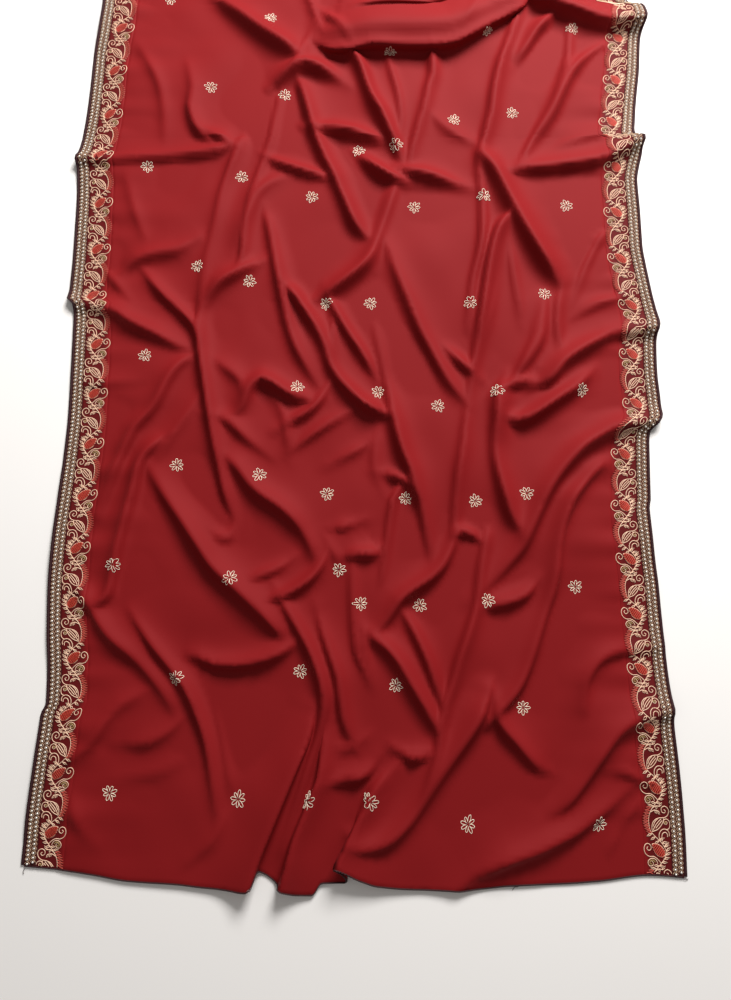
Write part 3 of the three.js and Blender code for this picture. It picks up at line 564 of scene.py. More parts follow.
class Strip:
    """A strip of the laid cloth between two lines, which carries stitches on its top face."""

    def __init__(self, start, end, columns, rows, wall):
        self.start, self.end = start, end
        self.columns, self.rows, self.wall = columns, rows, wall
        share = np.tile(np.linspace(0, 1, columns + 1), len(rows))
        self.y = np.repeat(rows, columns + 1)
        self.x = start(self.y) + (end(self.y) - start(self.y)) * share
        places = to_part(cloth_points(self.x, self.y))
        self.grid = places.reshape(len(rows), columns + 1, 3)

    def share(self, x, y):
        """How far across the strip a place lies, from 0 to 1."""
        return (x - self.start(y)) / (self.end(y) - self.start(y))

    def places(self, share, y, above):
        """Points over the top face, at shares across and stations up, in metres."""
        row = np.interp(y, self.rows, np.arange(len(self.rows)))
        i = np.clip(row.astype(int), 0, len(self.rows) - 2)
        column = np.clip(share, 0, 1) * self.columns
        j = np.clip(column.astype(int), 0, self.columns - 1)
        up, over = (row - i)[:, None], (column - j)[:, None]
        a, b = self.grid[i, j], self.grid[i, j + 1]
        c, d = self.grid[i + 1, j], self.grid[i + 1, j + 1]
        low, high = a + (b - a) * over, c + (d - c) * over
        across = (b - a) * (1 - up) + (d - c) * up
        facing = np.cross(across, high - low)
        facing /= np.linalg.norm(facing, axis=1)[:, None]
        return low + (high - low) * up + facing * (self.wall + above) * MM


def laid_strip(name, strip, material, node, stitched=None):
    """A thin shell over the strip, with a UV map in metres of cloth."""
    bm = bmesh.new()
    last_row = len(strip.rows) - 1
    bmesh.ops.create_grid(bm, x_segments=strip.columns, y_segments=last_row, size=0.5)
    bm.verts.ensure_lookup_table()
    flat = np.array([v.co[:2] for v in bm.verts]) + 0.5
    j = np.rint(flat[:, 0] * strip.columns).astype(int)
    i = np.rint(flat[:, 1] * last_row).astype(int)
    for vert, place in zip(bm.verts, strip.grid[i, j]):
        vert.co = place
    at = i * (strip.columns + 1) + j
    uv = bm.loops.layers.uv.new("cloth")
    for face in bm.faces:
        for loop in face.loops:
            k = at[loop.vert.index]
            loop[uv].uv = (strip.x[k] * MM, strip.y[k] * MM)
    mesh = bpy.data.meshes.new(name)
    bm.to_mesh(mesh)
    bm.free()
    if stitched:
        # The "stitched" attribute darkens the vine's ground: partly a dark fill, partly painted
        # shade between the threads
        depth = mesh.attributes.new("stitched", "FLOAT", "POINT")
        depth.data.foreach_set("value", stitched(strip.x[at], strip.y[at]))
    piece = add_piece(name, mesh, material, node)
    shell = piece.modifiers.new("wall", "SOLIDIFY")
    shell.thickness = strip.wall * MM
    shell.offset = 1.0
    halves = piece.modifiers.new("short_diagonals", "TRIANGULATE")
    halves.quad_method = "SHORTEST_DIAGONAL"
    piece.modifiers.new("even_faces", "WEIGHTED_NORMAL")
    return piece


# How far a thread's centre stands above the cloth, as a share of its radius
THREAD_PROUD = 0.6


def add_threads(name, lines, radius, material):
    """Round threads along lines of points in metres."""
    curve = bpy.data.curves.new(name, "CURVE")
    curve.dimensions = "3D"
    curve.fill_mode = "FULL"
    curve.bevel_depth = radius * MM
    curve.bevel_resolution = 0
    curve.use_fill_caps = True
    for places in lines:
        spline = curve.splines.new("POLY")
        spline.points.add(len(places) - 1)
        spline.points.foreach_set("co", np.column_stack([places, np.ones(len(places))]).ravel())
    holder = bpy.data.objects.new(name, curve)
    mesh = bpy.data.meshes.new_from_object(holder)
    bpy.data.objects.remove(holder)
    return add_piece(name, mesh, material)


def lay_threads(name, strip, paths, radius, material, above=0.0):
    """Raised threads along paths of (share across, y) rows on a strip."""
    proud = THREAD_PROUD * radius + above
    lines = [strip.places(path[:, 0], path[:, 1], proud) for path in paths]
    return add_threads(name, lines, radius, material)


# Materials

def linear(hex_colour):
    """An sRGB hex colour as linear red, green, blue and alpha."""
    parts = [int(hex_colour[i:i + 2], 16) / 255 for i in (0, 2, 4)]
    return [c / 12.92 if c <= 0.04045 else ((c + 0.055) / 1.055) ** 2.4 for c in parts] + [1.0]


def add_node(tree, kind, inputs=(), **settings):
    """One node with its settings, its values and its links."""
    node = tree.nodes.new(kind)
    for key, value in settings.items():
        setattr(node, key, value)
    for socket, value in dict(inputs).items():
        if isinstance(value, bpy.types.NodeSocket):
            tree.links.new(value, node.inputs[socket])
        else:
            node.inputs[socket].default_value = value
    return node


# Length of one ridge of the wave pattern at a scale of 1, in metres
RIDGE_AT_ONE = 0.314

# Real sizes that the patterns' scales are worked out from: patches of the dye's slow drift,
# the crepe's grain, drawn coarser than the real yarn so that it shows, single stitches, the
# twist of a thread's ply, the ridges of the overlock, and one bead with its gap
DYE_PATCH = 181.8
CREPE_GRAIN = 1.1765
STITCH_LENGTH = 2.0833
PLY_TWIST = 0.4906
OVERLOCK_PITCH = 1.1
BEAD_BATCH = 4.1667


def repeats(size):
    """Repeats to a metre of a pattern whose single repeat has the size."""
    return 1 / (size * MM)


def new_material(name, shader_values):
    """A new material with its node tree and its shader, set to the values."""
    material = bpy.data.materials.new(name)
    material.use_nodes = True
    tree = material.node_tree
    shader = tree.nodes["Principled BSDF"]
    for socket, value in shader_values.items():
        shader.inputs[socket].default_value = value
    return material, tree, shader


def crepe(name, deep, light):
    """Satin-backed crepe: a soft sheen along the folds over a fine pebbled grain.

    Where the vine is worked its ground darkens to maroon, partly for a dark fill and partly as
    painted shade between the threads."""
    material, tree, shader = new_material(name, {
        "Roughness": 0.68, "Sheen Weight": 0.03, "Sheen Roughness": 0.5,
        "Sheen Tint": linear("C8303A"), "Specular IOR Level": 0.1,
    })
    place = add_node(tree, "ShaderNodeTexCoord").outputs["UV"]
    drift = add_node(tree, "ShaderNodeTexNoise", {
        "Vector": place, "Scale": repeats(DYE_PATCH), "Detail": 3.0})
    grain = add_node(tree, "ShaderNodeTexNoise", {
        "Vector": place, "Scale": repeats(CREPE_GRAIN), "Detail": 2.0, "Roughness": 0.6})
    tone = add_node(tree, "ShaderNodeMix", {
        "Factor": drift.outputs["Fac"], "A": linear(deep), "B": linear(light)},
        data_type="RGBA")
    # Toward dark maroon where the vine is worked: partly a dark fill, partly painted shade between
    # the threads
    fill_and_shade_mask = add_node(tree, "ShaderNodeAttribute", attribute_name="stitched")
    worked = add_node(tree, "ShaderNodeMix", {
        "Factor": fill_and_shade_mask.outputs["Fac"], "A": tone.outputs["Result"], "B": linear("4A1011")},
        data_type="RGBA")
    tree.links.new(worked.outputs["Result"], shader.inputs["Base Color"])
    bump = add_node(tree, "ShaderNodeBump", {
        "Height": grain.outputs["Fac"], "Strength": 0.25, "Distance": 0.0004})
    tree.links.new(bump.outputs["Normal"], shader.inputs["Normal"])
    return material


def thread(name, colour, dark, gloss):
    """Spun embroidery thread: its colour varies stitch by stitch, with a fine twist."""
    material, tree, shader = new_material(name, {
        "Roughness": gloss, "Sheen Weight": 0.05, "Specular IOR Level": 0.35})
    place = add_node(tree, "ShaderNodeTexCoord").outputs["Object"]
    stitches = add_node(tree, "ShaderNodeTexNoise", {
        "Vector": place, "Scale": repeats(STITCH_LENGTH)})
    tone = add_node(tree, "ShaderNodeMix", {
        "Factor": stitches.outputs["Fac"], "A": linear(dark), "B": linear(colour)},
        data_type="RGBA")
    tree.links.new(tone.outputs["Result"], shader.inputs["Base Color"])
    ply = add_node(tree, "ShaderNodeTexWave", {
        "Vector": place, "Scale": RIDGE_AT_ONE * repeats(PLY_TWIST)},
        bands_direction="DIAGONAL")
    bump = add_node(tree, "ShaderNodeBump", {
        "Height": ply.outputs["Fac"], "Strength": 0.3, "Distance": 0.0002})
    tree.links.new(bump.outputs["Normal"], shader.inputs["Normal"])
    return material


def overlock(name, colour, dark):
    """Close overlock stitching: fine ridges across the edge, one to a stitch, with painted shade
    darkening the grooves between them.
    """
    material, tree, shader = new_material(name, {"Roughness": 0.7, "Specular IOR Level": 0.25})
    place = add_node(tree, "ShaderNodeTexCoord").outputs["UV"]
    ridges = add_node(tree, "ShaderNodeTexWave", {
        "Vector": place, "Scale": RIDGE_AT_ONE * repeats(OVERLOCK_PITCH), "Distortion": 1.5,
        "Detail": 1.0}, bands_direction="Y")
    # The dark tone falls in the grooves between the ridges: painted shade
    tone = add_node(tree, "ShaderNodeMix", {
        "Factor": ridges.outputs["Fac"], "A": linear(dark), "B": linear(colour)},
        data_type="RGBA")
    tree.links.new(tone.outputs["Result"], shader.inputs["Base Color"])
    bump = add_node(tree, "ShaderNodeBump", {
        "Height": ridges.outputs["Fac"], "Strength": 0.5, "Distance": 0.0004})
    tree.links.new(bump.outputs["Normal"], shader.inputs["Normal"])
    return material


def pearl(name):
    """Pearly glass beads, silver-white with a hard small highlight."""
    material, tree, shader = new_material(name, {
        "Roughness": 0.25, "Metallic": 0.15, "Coat Weight": 0.6, "Coat Roughness": 0.08})
    place = add_node(tree, "ShaderNodeTexCoord").outputs["Object"]
    # Each bead a little lighter or darker than the next
    batch = add_node(tree, "ShaderNodeTexNoise", {"Vector": place, "Scale": repeats(BEAD_BATCH)})
    tone = add_node(tree, "ShaderNodeMix", {
        "Factor": batch.outputs["Fac"], "A": linear("C9BDB0"), "B": linear("FFFBF4")},
        data_type="RGBA")
    tree.links.new(tone.outputs["Result"], shader.inputs["Base Color"])
    return material


CREPE = crepe("satin_crepe", "781114", "821618")
BRAID_BASE = crepe("braid_base", "3C1614", "4C2320")
HEM_THREAD = overlock("hem_overlock", "5A1A1E", "2C0D10")
EDGE_THREAD = overlock("edge_overlock", "40191C", "1E0B0E")
CREAM_THREAD = thread("cream_thread", "FBDCC0", "E0AE8C", 0.5)
LEAF_THREAD = thread("red_orange_thread", "C9432E", "A32C20", 0.5)
GOLD_THREAD = thread("olive_gold_thread", "A98A58", "7C6238", 0.45)
FRINGE_THREAD = thread("pink_red_thread", "D0604E", "A83A30", 0.5)
CHAIN_THREAD = thread("brown_gold_thread", "DDBB98", "7E5A46", 0.45)
FLOWER_THREAD = thread("pale_gold_thread", "FFF8EA", "F2DAB4", 0.45)
DARK_THREAD = thread("maroon_thread", "3A1214", "240A0C", 0.6)
PEARL = pearl("pearl_bead")


# Cloth strips

FIELD_ROWS = rows_between(HEM_WIDTH, LAID_LENGTH - HEM_WIDTH)
FIELD_COLUMNS = 160
VINE_COLUMNS = 14
BRAID_COLUMNS = 4
BINDING_COLUMNS = 2
HEM_COLUMNS = 240
BRAID_WALL = CLOTH_WALL + 0.1
BINDING_WALL = CLOTH_WALL + 0.5

# The darker ground of the vine, partly a dark fill and partly painted shade between the threads: how
# dark, how far in from the braid it reaches, and over what width it fades
VINE_FILL_AND_SHADE_DEPTH = 0.75
VINE_FILL_AND_SHADE_TO = 28.0
VINE_FILL_AND_SHADE_FADE = 7.0


def from_left(inset):
    """A line up the cloth, an inset from the left edge."""
    return lambda y: left_edge(y) + inset


def from_right(inset):
    """A line up the cloth, an inset from the right edge."""
    return lambda y: right_edge(y) - inset


def side_strip(side, outer, inner, columns, wall):
    """A lengthwise strip between two insets from one side edge."""
    if side == "left":
        return Strip(from_left(outer), from_left(inner), columns, FIELD_ROWS, wall)
    return Strip(from_right(inner), from_right(outer), columns, FIELD_ROWS, wall)


def dark_fill_and_painted_shade(x, y):
    """How far the ground darkens under the vine, partly for a dark fill and partly as painted shade
    between the threads, fading out at the border's inner side.
    """
    inset = np.minimum(x - left_edge(y), right_edge(y) - x) - VINE_AT
    return VINE_FILL_AND_SHADE_DEPTH * smooth((VINE_FILL_AND_SHADE_TO - inset) / VINE_FILL_AND_SHADE_FADE)


FIELD = Strip(from_left(FIELD_AT), from_right(FIELD_AT), FIELD_COLUMNS, FIELD_ROWS, CLOTH_WALL)
field = laid_strip("crepe_field", FIELD, CREPE, "field")

VINE, BRAID = {}, {}
for side in ("left", "right"):
    VINE[side] = side_strip(side, VINE_AT, FIELD_AT, VINE_COLUMNS, CLOTH_WALL)
    BRAID[side] = side_strip(side, BRAID_AT, VINE_AT - SEAM, BRAID_COLUMNS, BRAID_WALL)
    edge = side_strip(side, 0.0, BINDING_WIDTH, BINDING_COLUMNS, BINDING_WALL)
    laid_strip(f"vine_ground_{side}", VINE[side], CREPE, f"border_{side}",
               stitched=dark_fill_and_painted_shade)
    laid_strip(f"braid_ground_{side}", BRAID[side], BRAID_BASE, f"braid_{side}")
    laid_strip(f"bound_edge_{side}", edge, EDGE_THREAD, f"binding_{side}")

# Hems, each with its overlock thread to and fro over the cut edge
HEM_LENGTH = 700.0
HEM_STITCH = 1.3
OVERLOCK_INSET = 0.15
OVERLOCK_REACH = 1.5
OVERLOCK_ENDS = (0.002, 0.998)
OVERLOCK_RADIUS = 0.5
OVERLOCK_LIFT = 0.2
for name, low, high, cut, inward in (
        ("hem_near", 0.0, HEM_WIDTH, OVERLOCK_INSET, 1),
        ("hem_far", LAID_LENGTH - HEM_WIDTH, LAID_LENGTH, LAID_LENGTH - OVERLOCK_INSET, -1)):
    hem = Strip(from_left(BRAID_AT), from_right(BRAID_AT), HEM_COLUMNS, np.array([low, high]),
                CLOTH_WALL)
    laid_strip(f"turned_{name}", hem, HEM_THREAD, name)
    turns = int(HEM_LENGTH / HEM_STITCH) * 2
    zigzag = np.column_stack([
        np.linspace(*OVERLOCK_ENDS, turns),
        cut + inward * OVERLOCK_REACH * (np.arange(turns) % 2)])
    lay_threads(f"overlock_{name}", hem, [zigzag], OVERLOCK_RADIUS, DARK_THREAD,
                above=OVERLOCK_LIFT)


# Ends of thread that hang loose at the near hem and lie on the floor: x, y, z
LOOSE_STEP = 0.8
LOOSE_RADIUS = 0.3
LOOSE_ENDS = [
    [(161, -13.5, 1.0), (159.5, -15.5, 0.8), (157, -17, 0.6), (155, -19.5, 0.6)],
    [(163, -14.5, 1.0), (160, -16.5, 0.7), (157.5, -16.2, 0.6)],
    [(-361, 1.5, 1.0), (-362.5, -1.5, 0.7), (-361.5, -3.5, 0.6)],
    [(336, -8.5, 1.0), (338.5, -9.5, 0.8), (341, -8.6, 0.6)],
]
add_threads("loose_ends", [to_part(curve_points(line, LOOSE_STEP)) for line in LOOSE_ENDS],
            LOOSE_RADIUS, DARK_THREAD)


# Vine embroidery

VINE_REPEAT = 61.0
# Where the stem first touches the beads' side, up from the hem
VINE_START = {"left": -24.0, "right": -36.5}
# The chart's zero lies this far in from the braid, and it is drawn a little wider than sewn
CHART_INSET = 0.6
CHART_SCALE = 0.96
# No stitch comes nearer to a hem's inner side
HEM_CLEAR = 0.5

# Threads: spacing of their points and radii
STEM_STEP = 1.6
COIL_STEP = 1.2
CREAM_RADIUS = 0.43
LEAF_RADIUS = 0.6
GOLD_RADIUS = 0.7
FRINGE_RADIUS = 0.5

# Widths of the little loops
LEAFLET_WIDTH = 1.9
FRINGE_WIDTH = 1.8

# Satin stitches in the filled leaf: spacing along the leaf, spacing of the outline's points,
# how far in from the foot, the tip and the sides they stay, and how near an outline's point
# lies to count for a stitch
SATIN_SPACING = 1.0
OUTLINE_STEP = 0.7
FOOT_CLEAR = 1.2
TIP_CLEAR = 0.8
SIDE_CLEAR = 0.3
SATIN_REACH = 0.8

# Curves of one repeat, as charted: mm in from the beads' side, mm up the border
STEM = [(4.8, 0), (6.5, 4), (10, 8.5), (14, 12), (18.5, 16), (21.5, 20), (22.3, 25), (22.4, 31),
        (20.5, 37), (16.1, 43), (10.7, 49), (6.2, 55), (4.8, 61)]
INNER_SPIRAL = [(11, 49.5), (15, 53.5), (19, 55.6), (23, 55.4), (27, 57.5), (29, 62), (28, 66.5),
                (25, 68.2), (21.8, 66.3), (21.3, 63), (23.8, 61.2), (26, 63.3), (24.6, 65)]
GOLD_CURL = [(14.5, 48.5), (16, 52), (19.5, 53.8), (23.5, 52.6), (25.2, 49.5), (23.5, 46.3),
             (20.3, 46.6), (19.2, 49.3), (21, 50.8)]
FILLED_LEAF = [(6, 57.5), (7, 62), (10.5, 66), (15, 67.6), (19.8, 67.6), (18.8, 63), (16.5, 58.5),
               (12.5, 55.8), (8.5, 55.6), (6, 57.5)]
OUTER_SPIRAL = [(5, 40.2), (3.2, 39), (4.6, 36.9), (7.4, 38), (7.6, 41.5), (4.2, 43.6),
                (0.6, 41.6), (-0.2, 38), (1.6, 34.3), (5.5, 32.3), (10, 32), (14.5, 30.5),
                (18, 27), (19.3, 22.5), (19, 18.5)]
VEINED_LEAF = [(5.5, 32.3), (6.5, 28.5), (9.5, 24), (13.5, 20.5), (19, 18.5)]
VEINS = [
    [(8.5, 31), (12, 28), (15.5, 24), (18, 20)],
    [(7.5, 29.5), (11, 26), (15, 21.8)],
    [(12, 31), (15.5, 28), (17.8, 23.5)],
]
MIDDLE_SPIRAL = [(3.6, 29), (2, 27.6), (3.6, 25.8), (6, 27.2), (5.7, 30), (3, 31.2), (0, 29.5),
                 (-0.7, 25.5), (0.8, 22), (4, 20.8)]
HOOKS = [
    [(0.9, 15), (0.6, 18), (3, 21), (7.5, 21.2), (11, 18), (12, 13.5), (10.5, 9.5)],
    [(2.8, 14.2), (2.8, 16.8), (5, 18.4), (8, 17), (9, 13), (8.6, 9.5)],
]
SPRIGS = [
    [(19.8, 37.5), (15, 39.5), (10.5, 38.3)],
    [(18, 41), (13.5, 43.5), (9.5, 43)],
]
GOLD_COILS = [
    [(17.5, 50), (19.5, 52), (22, 51.3), (23.3, 49.3), (22, 47.8), (21, 49)],
    [(3.2, 28.6), (4.6, 28.2), (4.2, 27), (3, 27.2)],
]
# Small leaves, each a narrow loop: foot and tip
LEAFLETS = [
    ((5, 61), (0, 65.5)), ((5.6, 57.5), (-0.5, 60.5)), ((7.5, 53.5), (1, 55.5)),
    ((10, 50), (4, 50.5)), ((13, 46.5), (8, 46.5)), ((6.5, 65), (1.5, 70)),
    ((16, 13.5), (21.5, 10.5)), ((19.5, 16.5), (25.5, 14.2)), ((12, 10), (17.5, 6.5)),
    ((9, 7.5), (3.5, 9.5)), ((15, 39.5), (13, 36)), ((13.5, 43.5), (12.5, 40.5)),
    ((16.5, 43.5), (22.5, 44.5)), ((13.5, 46.5), (19, 47)), ((7.2, 4.5), (1.2, 6.5)),
    ((12, 10.5), (6, 13)), ((10, 42.8), (6.5, 47)), ((12, 38.6), (9.5, 35.3)),
]
# The fringe of little leaves on the stem's inner side, on two bows about its middle, with
# the feet on one and the tips on the other, a little further up
FRINGE_MIDDLE = 29.0
FRINGE_FOOT, FRINGE_FOOT_BEND = 22.6, 0.022
FRINGE_TIP, FRINGE_TIP_BEND, FRINGE_TIP_RISE = 29.6, 0.03, 0.8
FRINGE = [((FRINGE_FOOT - FRINGE_FOOT_BEND * (y - FRINGE_MIDDLE) ** 2, y),
           (FRINGE_TIP - FRINGE_TIP_BEND * (y - FRINGE_MIDDLE) ** 2, y + FRINGE_TIP_RISE))
          for y in (18.0, 20.6, 23.2, 25.8, 28.4, 31.0, 33.6, 36.2, 38.8, 41.4)]


def loop_about(foot, tip, width):
    """A narrow pointed loop from its foot out to its tip and back."""
    foot, tip = np.array(foot, float), np.array(tip, float)
    way = tip - foot
    out = np.array([-way[1], way[0]]) / np.linalg.norm(way) * width / 2
    return np.array([foot, foot + 0.5 * way + out, tip, foot + 0.5 * way - out, foot])


def satin_fill(outline):
    """Stitches to and fro across a leaf's outline, from its foot to its tip."""
    line = curve_points(outline, OUTLINE_STEP)
    foot, tip = line[0], line[np.argmax(np.linalg.norm(line - line[0], axis=1))]
    length = np.linalg.norm(tip - foot)
    way = (tip - foot) / length
    out = np.array([-way[1], way[0]])
    along, side = (line - foot) @ way, (line - foot) @ out
    stitches = []
    for k, at in enumerate(np.arange(FOOT_CLEAR, length - TIP_CLEAR, SATIN_SPACING)):
        close = side[np.abs(along - at) < SATIN_REACH]
        middle = foot + way * at
        ends = [middle + out * (close.min() + SIDE_CLEAR), middle + out * (close.max() - SIDE_CLEAR)]
        stitches += ends if k % 2 else ends[::-1]
    return np.array(stitches)


def repeated(side, shapes):
    """The shapes of one repeat laid all the way up one border, as paths on its strip."""
    paths = []
    lowest, highest = HEM_WIDTH + HEM_CLEAR, LAID_LENGTH - HEM_WIDTH - HEM_CLEAR
    for k in range(-1, int(LAID_LENGTH / VINE_REPEAT) + 3):
        for shape in shapes:
            y = shape[:, 1] + VINE_START[side] + VINE_REPEAT * k
            inside = np.flatnonzero((y > lowest) & (y < highest))
            share = (CHART_INSET + CHART_SCALE * shape[:, 0]) / VINE_WIDTH
            share = share if side == "left" else 1 - share
            for run in np.split(inside, np.flatnonzero(np.diff(inside) > 1) + 1):
                if len(run) > 1:
                    paths.append(np.column_stack([share[run], y[run]]))
    return paths


def stitched(curves, step):
    """Each charted curve as a path of stitches, a step apart."""
    return [curve_points(curve, step) for curve in curves]


CREAM_SHAPES = stitched([STEM, INNER_SPIRAL, GOLD_CURL, FILLED_LEAF, OUTER_SPIRAL, VEINED_LEAF,
                         MIDDLE_SPIRAL] + VEINS + HOOKS + SPRIGS, STEM_STEP)
CREAM_SHAPES += [loop_about(foot, tip, LEAFLET_WIDTH) for foot, tip in LEAFLETS]
LEAF_SHAPES = [satin_fill(FILLED_LEAF)]
GOLD_SHAPES = stitched(GOLD_COILS, COIL_STEP)
FRINGE_SHAPES = [loop_about(foot, tip, FRINGE_WIDTH) for foot, tip in FRINGE]

for side in ("left", "right"):
    for name, shapes, radius, material in (
            ("vine_cream", CREAM_SHAPES, CREAM_RADIUS, CREAM_THREAD),
            ("vine_leaves", LEAF_SHAPES, LEAF_RADIUS, LEAF_THREAD),
            ("vine_gold", GOLD_SHAPES, GOLD_RADIUS, GOLD_THREAD),
            ("vine_fringe", FRINGE_SHAPES, FRINGE_RADIUS, FRINGE_THREAD)):
        lay_threads(f"{name}_{side}", VINE[side], repeated(side, shapes), radius, material)


# Beaded braid

BEAD_PITCH = 4.6
BEAD_RADIUS = 1.2
# How far a bead's centre stands above the braid, as a share of its radius
BEAD_PROUD = 0.75
# The first bead's distance from the hem
BEAD_START = 1.5
# Two columns, as shares of the braid's width, the second half a pitch further up
BEAD_COLUMNS = ((0.27, 0.0), (0.73, 0.5))
# How far the beads wander from their column, and how fast, bead by bead
BEAD_WANDER = 0.02
WANDER_TURN = 2.4
# How far a chain's two threads swing out about the beads, with four points to a bead
CHAIN_SWING = 0.20
CHAIN_RADIUS = 0.42
CHAIN_POINTS = 4
BEADS_AT_ONCE = 30


def bead_mesh(name, centres):
    """Small round beads at the centres, made a few at a time."""
    mesh = bpy.data.meshes.new(name)
    whole = bmesh.new()
    for start in range(0, len(centres), BEADS_AT_ONCE):
        part = bmesh.new()
        for centre in centres[start:start + BEADS_AT_ONCE]:
            bmesh.ops.create_uvsphere(part, u_segments=8, v_segments=5, radius=BEAD_RADIUS * MM,
                                      matrix=Matrix.Translation(centre))
        part.to_mesh(mesh)
        part.free()
        whole.from_mesh(mesh)
    whole.to_mesh(mesh)
    whole.free()
    return mesh


for side in ("left", "right"):
    strip = BRAID[side]
    count = int((LAID_LENGTH - 2 * HEM_WIDTH) / BEAD_PITCH) - 1
    beads, stitches = np.arange(count), np.arange(count * CHAIN_POINTS) / CHAIN_POINTS
    centres, chains = [], []
    for column, shift in BEAD_COLUMNS:
        start = HEM_WIDTH + BEAD_START
        wander = BEAD_WANDER * np.sin(beads * WANDER_TURN + 9 * column)
        up = start + BEAD_PITCH * (beads + shift)
        centres += list(strip.places(column + wander, up, BEAD_PROUD * BEAD_RADIUS))
        up = start + BEAD_PITCH * (stitches + shift)
        for swing in (CHAIN_SWING, -CHAIN_SWING):
            chains.append(np.column_stack([column + swing * np.cos(math.pi * stitches), up]))
    add_piece(f"beads_{side}", bead_mesh(f"beads_{side}", centres), PEARL)
    lay_threads(f"chain_stitch_{side}", strip, chains, CHAIN_RADIUS, CHAIN_THREAD)


# Flowers

PETALS = 8
PETAL_POINTS = 9
FLOWER_RADIUS = 7.6
FLOWER_THREAD_RADIUS = 0.32
# The eye's share of the flower's radius, how full its petals are, and how uneven by hand
EYE_SHARE = 0.16
PETAL_FULLNESS = 0.7
HAND_SWAY = 0.1
# Rounds that find the place in the cloth that the hem's curve brings to where it is seen
HEM_ROUNDS = 4
# Centres seen in the near half: x, y
FLOWERS = [
    (-275, 78), (-137, 72), (-57.5, 70), (7.5, 70), (109.5, 46), (249, 47),
    (-206.6, 200), (-71.6, 206), (33.6, 191), (172.5, 167),
    (-284.6, 323), (-149.6, 309), (-29.6, 318), (-5.6, 280), (61, 278), (136.5, 284), (236, 299),
    (-218, 439), (-121.4, 427), (-44, 405), (46, 400), (126, 397), (184, 405),
    (-261.5, 572), (-80, 532), (15, 527), (85, 510), (154.5, 526), (253, 529),
    (-203, 685), (-140, 666), (-47, 637), (6, 638), (126, 637), (215, 649),
    (-270.5, 818), (-153, 804), (-66, 777), (60, 764), (146, 777), (247, 766),
    (-195.5, 928), (-101.6, 918), (-8, 840), (39, 844), (111, 882), (184.5, 893),
    (-252.5, 1057), (-121.4, 1027), (31.5, 980), (153, 1010), (265.5, 1012),
]
# The far half follows the same stagger, rows of five and six, each flower a little astray
FAR_ROWS = 9
FAR_ROW_START = 1140.0
FAR_ROW_PITCH = 118.0
ROW_OF_FIVE = (-200, -100, 0, 100, 200)
ROW_OF_SIX = (-255, -150, -50, 50, 150, 255)
ASTRAY_ACROSS = 9.0
ASTRAY_UP = 7.0
for row in range(FAR_ROWS):
    row_up = FAR_ROW_START + FAR_ROW_PITCH * row
    FLOWERS += [(x + ASTRAY_ACROSS * math.sin(3.1 * row + 0.05 * x),
                 row_up + ASTRAY_UP * math.sin(0.02 * x + row))
                for x in (ROW_OF_SIX if row % 2 else ROW_OF_FIVE)]


def flower_path(number, x, seen_y):
    """One flower's looped petals as a path on the field, each flower turned by its number."""
    y = seen_y
    for _ in range(HEM_ROUNDS):
        y = seen_y - float(hem_shift(np.array([x]), np.array([y]))[0])
    turn = np.linspace(0, 2 * math.pi, PETALS * PETAL_POINTS + 1)
    petal = np.abs(np.sin(PETALS * turn / 2)) ** PETAL_FULLNESS
    reach = FLOWER_RADIUS * (EYE_SHARE + (1 - EYE_SHARE) * petal)
    reach *= 1 + HAND_SWAY * np.sin(3 * turn + number)
    px, py = x + reach * np.cos(turn + number), y + reach * np.sin(turn + number)
    return np.column_stack([FIELD.share(px, py), py])


flower_paths = [flower_path(number, x, y) for number, (x, y) in enumerate(FLOWERS)]
lay_threads("field_flowers", FIELD, flower_paths, FLOWER_THREAD_RADIUS, FLOWER_THREAD)

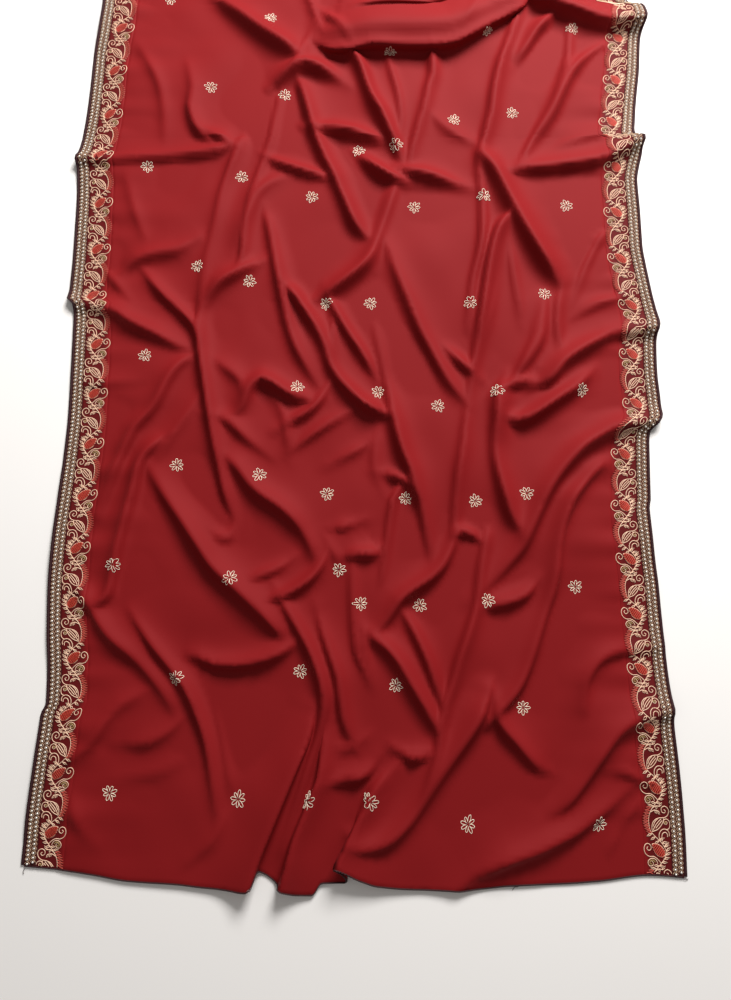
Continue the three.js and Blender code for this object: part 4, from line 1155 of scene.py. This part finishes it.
# Floor, in metres, just under the cloth
FLOOR_HALF_SIZE = 4.0
FLOOR_DROP = 0.0003
bm = bmesh.new()
bmesh.ops.create_grid(bm, x_segments=1, y_segments=1, size=FLOOR_HALF_SIZE)
floor_mesh = bpy.data.meshes.new("floor")
bm.to_mesh(floor_mesh)
bm.free()
floor = bpy.data.objects.new("floor", floor_mesh)
floor.location.z = -FLOOR_DROP
bpy.context.scene.collection.objects.link(floor)
floor_material, _, _ = new_material("matt_floor", {
    "Base Color": linear("F4F0EC"), "Roughness": 0.9, "Specular IOR Level": 0.2})
floor_mesh.materials.append(floor_material)
floor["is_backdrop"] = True

# Light, in metres: a pale studio about the cloth, and one window beyond its upper right
STUDIO_COLOUR = (1.0, 0.98, 0.96, 1.0)
STUDIO_STRENGTH = 0.28
WINDOW_SIZE = (0.94, 0.78)
WINDOW_WATTS = 76.0
WINDOW_AT = (0.58, 0.93, 1.22)
WINDOW_AIM = (0.0, -0.55, 0.0)
world = bpy.data.worlds.new("studio")
world.use_nodes = True
background = world.node_tree.nodes["Background"]
background.inputs["Color"].default_value = STUDIO_COLOUR
background.inputs["Strength"].default_value = STUDIO_STRENGTH
bpy.context.scene.world = world
lamp = bpy.data.lights.new("window", "AREA")
lamp.shape = "RECTANGLE"
lamp.size, lamp.size_y = WINDOW_SIZE
lamp.energy = WINDOW_WATTS
lamp_object = bpy.data.objects.new("window", lamp)
lamp_object.location = WINDOW_AT
bpy.context.scene.collection.objects.link(lamp_object)
aim = Vector(WINDOW_AIM) - lamp_object.location
lamp_object.rotation_euler = aim.to_track_quat("-Z", "Y").to_euler()

# Camera: height in metres, tilt in degrees, and its place up the cloth
CAMERA_HEIGHT = 0.888
CAMERA_TILT = 10.2
CAMERA_AT_Y = 238.6
SENSOR_WIDTH = 36.0
FOCAL_OVER_LONG_SIDE = 0.785
camera = bpy.data.cameras.new("camera")
camera.sensor_width = SENSOR_WIDTH
camera.lens = FOCAL_OVER_LONG_SIDE * SENSOR_WIDTH
camera_object = bpy.data.objects.new("camera", camera)
camera_object.location = (ORIGIN[0], ORIGIN[1] + CAMERA_AT_Y * MM, CAMERA_HEIGHT)
camera_object.rotation_euler = (math.radians(CAMERA_TILT), 0.0, 0.0)
bpy.context.scene.collection.objects.link(camera_object)
bpy.context.scene.camera = camera_object
bpy.context.scene.view_settings.view_transform = "Standard"

low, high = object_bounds()
